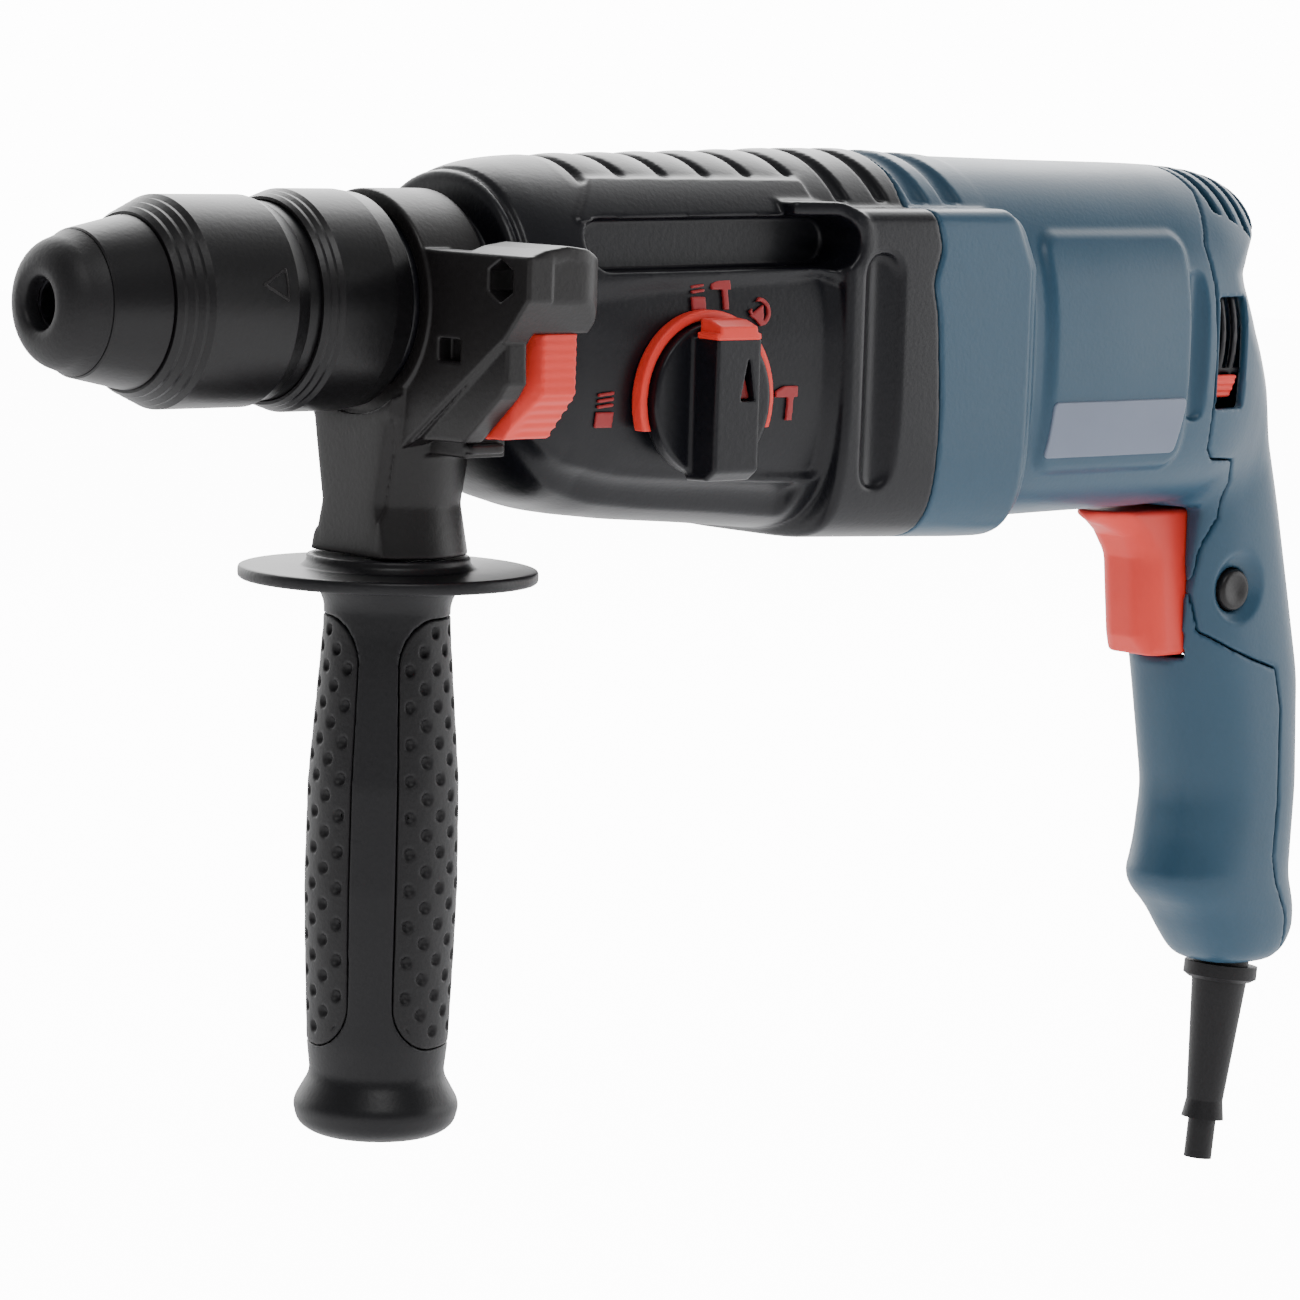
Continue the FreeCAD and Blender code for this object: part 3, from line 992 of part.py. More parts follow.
def make_grip():
    here = V(size("neck_axis"), 0, 0)
    blank = turned("grip_turning", [
        ("-disc_top", "stud_r + running"), ("-disc_top", "disc_hub_r - 1"), ("-disc_z + 0.4", "disc_hub_r"),
        ("-disc_z + 0.4", "disc_r - 1"), ("-disc_z + 1.4", "disc_r"), ("-disc_under - 0.6", "disc_r"),
        ("-disc_under", "disc_r - 1.2"), ("-disc_under", "grip_neck_r + 2"),
        ("-grip_neck_z", "grip_neck_r"), ("-grip_neck_z + 20", "grip_r - 1"),
        ("-grip_mid_z", "grip_r"), ("-grip_waist_z", "grip_waist_r"),
        ("-grip_cap_z", "grip_cap_r"), ("-grip_cap_z + 3", "grip_cap_r - 0.4"),
        ("-grip_end_z", "grip_end_r"), ("-grip_end_z", "0"),
        ("-stud_end + 1", "0"), ("-stud_end + 1", "stud_r + running")], here, TURN_DOWN)
    band = [(size("pad_top"), size("grip_neck_r")), (size("pad_top") - 17, size("grip_r") - 0.9),
            (size("grip_mid_z"), size("grip_r")), (size("pad_bottom"), size("grip_waist_r") + 0.25)]
    skin = loft([Part.Wire([Part.makeCircle(r + 0.45, here + V(0, 0, z))]) for z, r in band])
    inner = loft([Part.Wire([Part.makeCircle(r - size("pad_groove"), here + V(0, 0, z))]) for z, r in band])
    sleeve = skin.cut(inner)
    halves = mirrored_pair(solid_box(60, 140, size("band_half"), 40, -200, 0))
    for half in halves:
        half.rotate(here, V(0, 0, 1), size("band_turn"))
    pads = [sleeve.common(half) for half in halves]
    piece("grip_pads", feature("grip_pads", Part.makeCompound(pads)))
    piece("side_grip", cut("side_grip", blank, feature("pad_grooves", Part.makeCompound(pads))))


# ---------------------------------------------------------------- fasteners and plates

def make_fasteners():
    screws = []
    for y, z in screw_places():
        shank = solid_rod(size("screw_r"), V(size("screw_head_x") - 1, y, z), V(size("screw_end"), y, z))
        head = solid_rod(size("screw_head_r"), V(size("screw_head_x") - 4, y, z),
                         V(size("screw_head_x"), y, z))
        socket = solid_rod(1.7, V(size("screw_head_x") - 4, y, z), V(size("screw_head_x") - 2, y, z))
        screws.append(shank.fuse(head).cut(socket))
    piece("housing_screws", feature("housing_screws", Part.makeCompound(screws)))


def check_and_write():
    """Stops on any failed object or bad shape, then writes one STEP file per sub-part."""
    doc.recompute()
    failed = [item.Label for item in doc.Objects if {"Invalid", "Error"} & set(item.State)]
    if failed:
        raise RuntimeError(f"failed objects: {failed}")
    os.makedirs("parts", exist_ok=True)
    for item in pieces:
        shape = item.Shape
        if shape.isNull() or not shape.isValid() or not shape.Solids:
            raise RuntimeError(f"{item.Label} has a bad shape")
        shape.exportStep(os.path.join("parts", item.Label + ".step"))
    print(len(pieces), "sub-parts written")


make_chuck()
make_spindle()
make_hammer()
make_countershaft()
make_flange()
make_motor()
make_selector()
make_trigger()
make_cord()
make_side_handle()
make_fasteners()
make_gear_housing()
make_blue_housings()
check_and_write()
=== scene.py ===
"""The looks of a rotary hammer with a quick-change chuck and a side handle, built round its CAD frame.

Lengths in this script are millimetres; UNIT turns them into the frame's metres when a mesh is made.
The spindle runs along X with the chuck towards -X, Z is up and the tool's left side faces -Y.
"""
import math

import bpy
import numpy as np
from mathutils import Matrix, Vector


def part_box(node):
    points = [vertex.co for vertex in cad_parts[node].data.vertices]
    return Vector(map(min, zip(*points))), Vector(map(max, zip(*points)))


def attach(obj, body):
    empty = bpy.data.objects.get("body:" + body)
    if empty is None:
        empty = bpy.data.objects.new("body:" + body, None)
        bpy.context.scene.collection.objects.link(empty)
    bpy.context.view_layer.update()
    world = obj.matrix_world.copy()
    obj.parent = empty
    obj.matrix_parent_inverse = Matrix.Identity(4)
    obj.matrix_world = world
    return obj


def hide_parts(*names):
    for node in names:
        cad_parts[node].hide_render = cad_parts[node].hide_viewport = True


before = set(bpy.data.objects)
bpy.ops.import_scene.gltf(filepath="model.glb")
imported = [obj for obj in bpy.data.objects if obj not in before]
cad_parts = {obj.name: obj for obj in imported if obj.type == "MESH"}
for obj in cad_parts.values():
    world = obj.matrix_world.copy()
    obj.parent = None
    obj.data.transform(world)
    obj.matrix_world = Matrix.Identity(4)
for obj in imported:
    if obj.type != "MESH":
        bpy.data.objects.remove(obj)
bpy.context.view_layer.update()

UNIT = 0.001
# Half the gap at a joint between casings, and their wall.
GAP = 0.15
WALL = 2.6


def span(node):
    """Lowest and highest corner of a CAD node in millimetres."""
    low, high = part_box(node)
    return np.array(low) / UNIT, np.array(high) / UNIT


def middle(node):
    low, high = span(node)
    return (low + high) / 2


DIAL_R = 18
COLLAR_R = 21.5
STUD_HOLE_R = 4.1
# The front edge of the gear housing, behind the seal and the first bearing's seat.
RIM_X = span("front_seal")[1][0] + 14.5
KNOB_X, KNOB_Z = middle("selector_knob")[0], span("selector_knob")[0][2] + DIAL_R
LOCK_X, LOCK_Z = middle("lock_button")[0], middle("lock_button")[2]
MOTOR_Z = middle("rotor_core")[2]
GRIP_X = middle("side_grip")[0]
# The hexagonal hole for the depth stop rod.
ROD_Y, ROD_Z, ROD_FLAT = -49.2, 6.8, 4.1


# ---------------------------------------------------------------- distance fields

class Grid:
    """A box of sample points; x, y and z broadcast against each other."""

    def __init__(self, low, high, step):
        self.low, self.step = np.array(low, float), step
        counts = np.ceil((np.array(high) - self.low) / step).astype(int) + 1
        self.shape = tuple(counts)
        axes = [(self.low[i] + step * np.arange(counts[i])).astype(np.float32) for i in range(3)]
        self.x = axes[0][:, None, None]
        self.y = axes[1][None, :, None]
        self.z = axes[2][None, None, :]
        self.side = np.abs(self.y)


def both(a, b, soft=0.0):
    """Where both shapes are solid, with the edge between them rounded by soft."""
    if not soft:
        return np.maximum(a, b)
    share = np.clip(0.5 + 0.5 * (a - b) / soft, 0, 1)
    return b + (a - b) * share + soft * share * (1 - share)


def either(a, b, soft=0.0):
    """Where either shape is solid, with a fillet of about soft."""
    return -both(-a, -b, soft)


def without(a, b, soft=0.0):
    return both(a, -b, soft)


def between(v, low, high):
    return np.abs(v - (low + high) / 2) - (high - low) / 2


def brick(u, v, w, ranges, edge=0.0):
    """A box with rounded edges."""
    reach = [np.maximum(between(q, *r) + edge, 0) for q, r in zip((u, v, w), ranges)]
    inner = np.maximum(np.maximum(between(u, *ranges[0]), between(v, *ranges[1])), between(w, *ranges[2]))
    return np.sqrt(reach[0] ** 2 + reach[1] ** 2 + reach[2] ** 2) + np.minimum(inner + edge, 0) - edge


def rod(u, v, radius, centre=(0, 0)):
    return np.sqrt((u - centre[0]) ** 2 + (v - centre[1]) ** 2) - radius


def bead(u, v, start, end, radius):
    """Distance to a straight stroke with round ends in a plane."""
    du, dv = end[0] - start[0], end[1] - start[1]
    along = np.clip(((u - start[0]) * du + (v - start[1]) * dv) / (du * du + dv * dv), 0, 1)
    return np.sqrt((u - start[0] - along * du) ** 2 + (v - start[1] - along * dv) ** 2) - radius


def outline(u, v, corners, edge=0.0):
    """Signed distance to a closed outline in a plane; edge rounds its corners."""
    best, sign = None, 1.0
    for (u0, v0), (u1, v1) in zip(corners, corners[1:] + corners[:1]):
        du, dv = u1 - u0, v1 - v0
        along = np.clip(((u - u0) * du + (v - v0) * dv) / (du * du + dv * dv), 0, 1)
        reach = (u - u0 - along * du) ** 2 + (v - v0 - along * dv) ** 2
        best = reach if best is None else np.minimum(best, reach)
        crosses = ((v >= v0) & (v < v1)) | ((v < v0) & (v >= v1))
        left = (u - u0) * dv < (v - v0) * du if dv > 0 else (u - u0) * dv > (v - v0) * du
        sign = np.where(crosses & left, -sign, sign)
    return np.sqrt(best) * sign - edge


def along(v, rows, column, blur=5.0):
    """A column of a table of rows, read at v and smoothed over blur millimetres."""
    places = np.array([row[0] for row in rows], float)
    values = np.array([row[column] for row in rows], float)
    shifts = np.linspace(-blur, blur, 9)
    return sum(np.interp(v + s, places, values) for s in shifts) / len(shifts)


def egg(g, rows, upper, lower, blur=5.0):
    """A body along X from rows of x, half width, top and bottom; the powers set how square it is."""
    width = along(g.x, rows, 1, blur)
    top = along(g.x, rows, 2, blur)
    bottom = along(g.x, rows, 3, blur)
    centre = np.where(bottom < -top, (top + bottom) / 2, 0)
    rise = g.z - centre
    over = rise >= 0
    power = np.where(over, upper, lower)
    reach = np.where(over, top - centre, centre - bottom)
    high = (np.abs(rise) / reach) ** power
    wide = np.where(over, (g.side / width) ** upper, (g.side / width) ** lower)
    return ((high + wide) ** (1 / power) - 1) * np.minimum(width, reach)


def stalk(g, rows, square, blur=4.0):
    """A body along Z from rows of z, front x, back x and half width."""
    front = along(g.z, rows, 1, blur)
    back = along(g.z, rows, 2, blur)
    half = along(g.z, rows, 3, blur)
    reach = (back - front) / 2
    ring = (np.abs(g.x - (front + back) / 2) / reach) ** square + (g.side / half) ** square
    return (ring ** (1 / square) - 1) * np.minimum(reach, half)


def even(field, step):
    """Divides a field by its slope, so that it reads as a distance near its surface."""
    slopes = np.gradient(field, step)
    slope = np.sqrt(sum(s * s for s in slopes))
    return field / np.maximum(slope, 0.3)


# ---------------------------------------------------------------- meshes

def add_mesh(name, spots, faces):
    """A shaded mesh object from points in millimetres and an array of equal-sized faces."""
    mesh = bpy.data.meshes.new(name)
    faces = np.asarray(faces, np.int32)
    size = faces.shape[1]
    mesh.vertices.add(len(spots))
    mesh.vertices.foreach_set("co", (np.asarray(spots, np.float32) * UNIT).ravel())
    mesh.loops.add(faces.size)
    mesh.loops.foreach_set("vertex_index", faces.ravel())
    mesh.polygons.add(len(faces))
    mesh.polygons.foreach_set("loop_start", np.arange(0, faces.size, size, dtype=np.int32))
    mesh.polygons.foreach_set("use_smooth", np.ones(len(faces), bool))
    mesh.update(calc_edges=True)
    mesh.validate()
    piece = bpy.data.objects.new(name, mesh)
    bpy.context.scene.collection.objects.link(piece)
    return piece


def net(name, g, field):
    """A closed quad mesh over the zero surface of a field, one point in every cell the surface crosses."""
    field = np.broadcast_to(field, g.shape).astype(np.float32)
    field = np.pad(field, 1, constant_values=1.0)
    low = g.low - g.step
    inside = field < 0
    count = np.zeros(tuple(n - 1 for n in field.shape), np.int8)
    corners = [(i, j, k) for i in (0, 1) for j in (0, 1) for k in (0, 1)]
    for i, j, k in corners:
        count += inside[i:i + count.shape[0], j:j + count.shape[1], k:k + count.shape[2]]
    mixed = (count > 0) & (count < 8)
    cells = np.argwhere(mixed)
    index = np.full(mixed.shape, -1, np.int32)
    index[mixed] = np.arange(len(cells), dtype=np.int32)
    values = [field[cells[:, 0] + i, cells[:, 1] + j, cells[:, 2] + k] for i, j, k in corners]
    total = np.zeros((len(cells), 3))
    hits = np.zeros(len(cells))
    for a in range(8):
        for b in range(a + 1, 8):
            step = np.array(corners[b]) - np.array(corners[a])
            if step.sum() != 1 or step.min() < 0:
                continue
            crossed = (values[a] < 0) != (values[b] < 0)
            share = values[a] / np.where(crossed, values[a] - values[b], 1)
            spot = np.array(corners[a]) + share[:, None] * step
            total += np.where(crossed[:, None], spot, 0)
            hits += crossed
    spots = low + (cells + total / hits[:, None]) * g.step
    faces = []
    for axis in range(3):
        first, second = (axis + 1) % 3, (axis + 2) % 3
        near = [slice(None)] * 3
        far = [slice(None)] * 3
        near[axis], far[axis] = slice(0, -1), slice(1, None)
        solid = inside[tuple(near)]
        edges = np.argwhere(solid != inside[tuple(far)])
        turned = solid[tuple(edges.T)]
        ring = []
        for a, b in ((-1, -1), (0, -1), (0, 0), (-1, 0)):
            cell = edges.copy()
            cell[:, first] += a
            cell[:, second] += b
            ring.append(index[tuple(cell.T)])
        quads = np.stack(ring, 1)
        faces.append(np.where(turned[:, None], quads, quads[:, ::-1]))
    return add_mesh(name, spots, np.concatenate(faces))


# ---------------------------------------------------------------- materials

def material(name, colour, rough, grain=0.15, mottle=0.05, metal=0.0, pitch=900.0, gloss=0.5):
    """A procedural finish: mottled colour, uneven roughness and a fine moulded or machined grain."""
    made = bpy.data.materials.new(name)
    made.use_nodes = True
    nodes, links = made.node_tree.nodes, made.node_tree.links
    shader = nodes["Principled BSDF"]
    place = nodes.new("ShaderNodeTexCoord")
    cloud = nodes.new("ShaderNodeTexNoise")
    cloud.inputs["Scale"].default_value = 45
    cloud.inputs["Detail"].default_value = 4
    links.new(place.outputs["Object"], cloud.inputs["Vector"])
    tint = nodes.new("ShaderNodeValToRGB")
    tint.color_ramp.elements[0].color = [c * (1 - mottle) for c in colour] + [1]
    tint.color_ramp.elements[1].color = [min(1, c * (1 + mottle)) for c in colour] + [1]
    tint.color_ramp.elements[0].position = 0.3
    tint.color_ramp.elements[1].position = 0.7
    links.new(cloud.outputs["Fac"], tint.inputs["Fac"])
    links.new(tint.outputs["Color"], shader.inputs["Base Color"])
    wear = nodes.new("ShaderNodeMapRange")
    wear.inputs["To Min"].default_value = rough * 0.88
    wear.inputs["To Max"].default_value = min(1, rough * 1.12)
    links.new(cloud.outputs["Fac"], wear.inputs["Value"])
    links.new(wear.outputs["Result"], shader.inputs["Roughness"])
    pores = nodes.new("ShaderNodeTexNoise")
    pores.inputs["Scale"].default_value = pitch
    pores.inputs["Detail"].default_value = 2
    links.new(place.outputs["Object"], pores.inputs["Vector"])
    bump = nodes.new("ShaderNodeBump")
    bump.inputs["Strength"].default_value = grain
    bump.inputs["Distance"].default_value = 0.0004
    links.new(pores.outputs["Fac"], bump.inputs["Height"])
    links.new(bump.outputs["Normal"], shader.inputs["Normal"])
    shader.inputs["Metallic"].default_value = metal
    shader.inputs["Specular IOR Level"].default_value = gloss
    return made


BLACK = material("black_plastic", (0.0038, 0.0038, 0.0062), 0.34, 0.10, gloss=0.34)
CHUCK = material("chuck_plastic", (0.0044, 0.0040, 0.0048), 0.36, 0.10, gloss=0.36)
CLAMP = material("clamp_plastic", (0.0085, 0.0074, 0.0078), 0.40, 0.12, gloss=0.36)
BLUE = material("blue_plastic", (0.021, 0.066, 0.112), 0.38, 0.10, 0.03, gloss=0.42)
RED = material("red_plastic", (0.84, 0.050, 0.034), 0.42, 0.08, 0.03, gloss=0.36)
SIGN = material("sign_red", (0.34, 0.022, 0.024), 0.5, 0.08)
DARK_RED = material("window_red", (0.22, 0.012, 0.012), 0.5, 0.08)
LABEL = material("label_grey", (0.16, 0.19, 0.26), 0.35, 0.05)
GRIP = material("grip_plastic", (0.0052, 0.0050, 0.0064), 0.42, 0.12, gloss=0.34)
RUBBER = material("soft_rubber", (0.0075, 0.0070, 0.0080), 0.5, 0.2, gloss=0.34)
STEEL = material("turned_steel", (0.46, 0.46, 0.48), 0.28, 0.12, 0.04, 1.0, pitch=1500)
DARK_STEEL = material("hardened_steel", (0.20, 0.20, 0.22), 0.34, 0.12, 0.04, 1.0, pitch=1500)
COPPER = material("copper_wire", (0.72, 0.27, 0.10), 0.32, 0.3, 0.06, 1.0, pitch=1400)
BRASS = material("bronze", (0.55, 0.36, 0.12), 0.34, 0.12, 0.05, 1.0)
LAMINATION = material("laminated_iron", (0.22, 0.21, 0.21), 0.5, 0.35, 0.08, 0.9, pitch=2200)
CARBON = material("brush_carbon", (0.03, 0.03, 0.032), 0.7, 0.3)
WHITE_PLASTIC = material("fan_nylon", (0.62, 0.60, 0.54), 0.5, 0.08)

# Materials of the CAD nodes that are shown as they are; the rest is black plastic.
FINISHES = [
    (RUBBER, "front_seal cord_guard power_cord"),
    (CHUCK, "nose_ring locking_sleeve change_ring"),
    (STEEL, "locking_balls sleeve_spring impact_bolt striker piston_pin clutch_spring "
            "spindle_front_bearing countershaft_bearing armature_front_bearing armature_rear_bearing "
            "armature_shaft clamp_strap clamp_bolt trigger_spring housing_screws"),
    (DARK_STEEL, "tool_socket spindle spindle_gear clutch_ring countershaft countershaft_gear "
                 "wobble_hub wobble_ring shift_plate piston intermediate_flange"),
    (BRASS, "spindle_rear_bush countershaft_bush"),
    (LAMINATION, "rotor_core stator_core"),
    (COPPER, "rotor_windings commutator field_coils"),
    (WHITE_PLASTIC, "cooling_fan capacitor"),
    (CARBON, "carbon_brushes"),
]


def finish_nodes():
    """Gives every carried-over CAD node its finish, with smooth faces left as the frame has them."""
    chosen = {name: made for made, names in FINISHES for name in names.split()}
    for name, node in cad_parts.items():
        node.data.materials.clear()
        node.data.materials.append(chosen.get(name, BLACK))


def put(piece, made, body, nodes=()):
    """Gives a piece its material and its CAD body, and hides the CAD nodes it stands for."""
    piece.data.materials.append(made)
    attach(piece, body)
    if nodes:
        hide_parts(*nodes)
    return piece


# ---------------------------------------------------------------- housings

# Rows of x, half width, top and bottom of the outer skin.
GEAR_ROWS = [(110, 28.6, 28.8, -28.9), (114, 30, 30.3, -34.5), (119, 31.4, 31.9, -40.8),
             (127, 32.8, 32.9, -46.8), (140, 33.8, 33.6, -50.6), (156, 34.6, 34.0, -52.4),
             (180, 35.6, 34.6, -54.2), (212, 36.8, 35.6, -57.2), (236, 37.2, 35.8, -59.6),
             (270, 37.2, 34.2, -60.6)]
SHOULDER_ROWS = [(190, 38.6, 60, -57.2), (232, 38.8, 60, -58.8), (262, 38.4, 60, -60), (300, 38.2, 60, -59.6)]
MOTOR_ROWS = [(225, 36.2, 35.2, -57.4), (262, 36.2, 34.2, -57), (300, 36, 33.5, -56.4), (335, 35, 33.1, -56),
              (350, 33.2, 32.6, -55.4), (362, 29.5, 31.2, -54), (370, 25, 28.6, -52), (380, 16, 23, -46)]
# Rows of z, front x, back x and half width of the handle's skin.
HANDLE_ROWS = [(-182, 378, 404, 13), (-176, 373, 410, 15.5), (-166, 366, 409.6, 17), (-160, 358, 407, 17.6),
               (-150, 361.6, 407, 17.6), (-134, 363.4, 408, 17.2), (-104, 357.5, 407, 17.2),
               (-80, 353, 401, 17.6), (-57, 350, 394, 19), (-30, 338, 384.5, 22), (-19, 334, 379, 21.5),
               (-8, 330, 372, 20), (4, 326, 366, 19), (14, 326, 366, 19)]
# Height and x of the back of the motor housing, which is hollowed above the handle.
BACK_LINE = [(-60, 380), (-25, 379), (-8, 371.5), (4, 366.5), (12, 368), (19, 375.5), (24, 377), (40, 376)]
# The ledge of the wide band round the seam, and where that band begins on the gear housing.
SHOULDER_Z = 22.3
BAND_X = 204.5
# Height and x of the joint between the housings.
SEAM_LINE = [(-70, 237), (-24, 236.5), (-3, 235), (4.5, 233), (13, 235.8), (22, 233), (30, 235.5), (50, 236)]
# The rear end of the motor housing's collar.
COLLAR_END = 268
# The first groove across the top, the distance between grooves, and how many there are.
RIDGE_X, RIDGE_PITCH, RIDGES = 138.5, 12.76, 6
# Height, rear end and half height of the long side groove.
GROOVE_Z, GROOVE_END, GROOVE_R = 14.3, 202.5, 5.9
# The upright flute behind the mode dial.
FLUTE_X = 216.3


def shoulders(g, front, rear, slim=0.0):
    """The wide lower band with a ledge, which both housings share round the seam."""
    body = egg(g, SHOULDER_ROWS, 9.0, 5.5) + slim
    body = both(body, g.z - SHOULDER_Z + slim, 5)
    side_view = outline(g.x, g.z, [(front, -90), (front, 60), (rear - 7, 60), (rear - 7, SHOULDER_Z),
                                   (rear, 8), (rear, -90)])
    return both(body, side_view, 2.2)


def seam(g):
    """Negative in front of the joint between the two housings."""
    return g.x - along(g.z, SEAM_LINE, 1, 2.0)


def groove_across(g, skin, x, half, depth, low):
    """A channel that crosses the top of the body down to height low."""
    channel = np.sqrt(((g.x - x) / half) ** 2 + (skin / depth) ** 2) - 1
    return both(channel * min(half, depth), low - g.z, 1.0)


def gear_skin(g):
    """The plain egg-shaped skin of the gear housing."""
    return even(egg(g, GEAR_ROWS, 2.1, 3.0, 3.0), g.step)


def ridged(g, skin, body):
    """Adds shallow pillows with grooves between them across the top, and a smooth band below them."""
    phase = np.abs(np.sin(math.pi * (g.x - RIDGE_X) / RIDGE_PITCH))
    zone = (g.x > RIDGE_X - 4) & (g.x < RIDGE_X + (RIDGES - 0.35) * RIDGE_PITCH)
    fade = np.clip((19.5 - g.side) / 2.5, 0, 1) * np.clip((g.z - 15) / 5, 0, 1)
    body = body + np.where(zone, 0.8 * (1 - phase ** 0.6), 0) * fade
    half, depth = 1.25, 1.9
    for i in range(RIDGES):
        cross = np.sqrt(((g.x - RIDGE_X - i * RIDGE_PITCH) / half) ** 2 + (skin / depth) ** 2) - 1
        body = without(body, both(both(cross * half, g.side - 18.5, 1.0), 12 - g.z), 0.5)
    for x in (214, 227):
        body = without(body, groove_across(g, skin, x, 1.9, 1.9, 23.5), 0.6)
    rail = both(outline(g.x, g.z, [(131, 19.5), (203, 19.5), (203, 28), (140, 28)], 0.5), skin - 0.7)
    return either(body, both(rail, -g.side + 10), 1.2)


def sunken_panel(g, body, plain):
    """Lowers the flank round the mode dial, with slopes that are long in front and short behind."""
    depth = 1.7
    panel = outline(g.x, g.z, [(117, 3), (200, 4.5), (200, -39), (164, -40.5), (142, -39.6),
                               (127, -35), (117, -25)], 4.0)
    sink = np.clip(-panel / np.interp(g.x, [120, 150, 190, 200], [9, 6, 4, 3]), 0, 1)
    sink = sink * np.clip((g.side - 12) / 6, 0, 1)
    return np.maximum(body, plain + depth * sink * sink * (3 - 2 * sink))


def lower_scoop(g):
    """The long hollow along the lower edge, which follows the skin at 45 degrees below its middle."""
    diagonal = 0.794
    half, low = along(g.x, GEAR_ROWS, 1), along(g.x, GEAR_ROWS, 3)
    scoop_y = half * diagonal + 2.9
    scoop_z = (low + 34) / 2 + (low - 34) / 2 * diagonal - 5.2
    reach = np.interp(g.x, [116, 134, 199], [5.6, 7.6, 8.6])
    return both(rod(g.side, g.z, reach, (scoop_y, scoop_z)), g.x - 198.5, 2.5)


def gear_outside(g):
    skin = gear_skin(g)
    body = both(skin, RIM_X - g.x, 1.5)
    frame_arm = bead(g.x, g.z, (150, GROOVE_Z), (GROOVE_END, GROOVE_Z), GROOVE_R + 2)
    arm = both(np.abs(frame_arm) - 1.7, g.side - (31.5 + np.clip(g.x - 190, 0, 20) * 0.34), 1.0)
    arm = both(arm, 192 + np.clip(14 - g.z, 0, 6) - g.x, 1.0)
    body = either(body, either(shoulders(g, BAND_X, 290), arm, 1.2), 1.2)
    plain = body = ridged(g, skin, body)
    nose_line = np.sqrt((g.x - RIM_X - 3.1) ** 2 + skin ** 2) - 0.9
    body = without(body, nose_line, 0.3)
    slot = bead(g.x, g.z, (137, GROOVE_Z - 0.9), (GROOVE_END, GROOVE_Z), GROOVE_R)
    body = without(body, both(slot, 24 - g.side, 1.0), 1.2)
    body = sunken_panel(g, body, plain)
    body = without(body, lower_scoop(g), 1.4)
    flute = bead(g.x, g.z, (FLUTE_X, -38), (FLUTE_X, 5), 6.8)
    flute = both(flute, np.sqrt((g.x - FLUTE_X) ** 2 + (g.side - 43) ** 2) - 7.6, 2.0)
    return without(body, flute, 0.8)


def gear_bores(g, outer):
    """Seats and bores for the spindle, the bearings, the countershaft, the dial and the shift plate."""
    counter_z = middle("countershaft")[2]
    along_spindle = [(17.6, 0, 114), (23.1, 113, 124), (22.9, 122, 176), (21.1, 175, 186)]
    bores = [both(rod(g.y, g.z, radius), between(g.x, start, end)) for radius, start, end in along_spindle]
    for radius, start, end in [(8.1, 140, 155), (12, 176, 186)]:
        bores.append(both(rod(g.y, g.z, radius, (0, counter_z)), between(g.x, start, end)))
    bores.append(both(rod(g.x, g.z, 9.2, (KNOB_X, KNOB_Z)), g.y + 25))
    bores.append(both(brick(g.x, g.y, g.z, ((150, 180), (-31, -20), (-37, -7))), outer + 2.2))
    return bores


def make_gear_housing():
    g = Grid((85, -42, -64), (242, 42, 39), 0.62)
    outer = gear_outside(g)
    hollow = both(outer + WALL, RIM_X + WALL - g.x, 1.0)
    webs = np.minimum(between(g.x, 146.5, 152.8), between(g.x, 177.6, 184))
    hollow = without(hollow, webs)
    hollow = without(hollow, both(rod(g.y, g.z, 26), g.x - 123))
    body = without(outer, hollow)
    collar = both(rod(g.y, g.z, COLLAR_R), between(g.x, 86.5, 114), 0.6)
    body = either(body, collar)
    for bore in gear_bores(g, outer):
        body = without(body, bore)
    body = without(body, -seam(g) - GAP, 0.5)
    return put(net("gear_housing_shell", g, body), BLACK, "root", ["gear_housing"])


# Corners in side view of the cover behind the joint line of the motor housing.
COVER_LINE = [(345, 90), (344, 26), (338, 13), (339.5, 2), (340.5, -33), (341.5, -39), (345, -42.2),
              (356, -43), (361, -49), (362, -59), (359, -66), (358, -79), (361, -90), (371, -95),
              (378.6, -98), (388, -101), (391, -112), (391.5, -138), (390, -152), (392.5, -160),
              (398, -169), (399.5, -178), (402, -200), (450, -200), (450, 90)]


def blue_skin(g):
    """The outer skin of the motor housing, its collar and the handle."""
    motor = egg(g, MOTOR_ROWS, 2.25, 3.0)
    bend = np.interp(g.z, [-40, -10, 6, 18, 30], [0.004, 0.012, 0.013, 0.005, 0.004])
    motor = both(motor, g.x - along(g.z, BACK_LINE, 1, 2.5) + bend * g.y ** 2, 6)
    motor = even(motor, g.step)
    dome = both(gear_skin(g), g.x - 262, 1.2)
    collar = either(dome, shoulders(g, 200, COLLAR_END), 1.0)
    collar = either(collar, shoulders(g, 200, COLLAR_END + 2.4, 1.1), 0.3)
    raised = outline(g.x, g.z, [(281.5, 11), (323, 11), (323, -38), (281.5, -38)], 5.5)
    raised = both(raised, motor - 1.5, 2.2)
    handle = both(stalk(g, HANDLE_ROWS, 2.45), -182.5 - g.z, 5)
    handle = even(both(handle, g.z - 12, 6), g.step)
    skin = either(motor, handle, 7)
    skin = either(either(skin, raised, 1.6), collar, 0.8)
    return both(skin, g.x - 411.5)


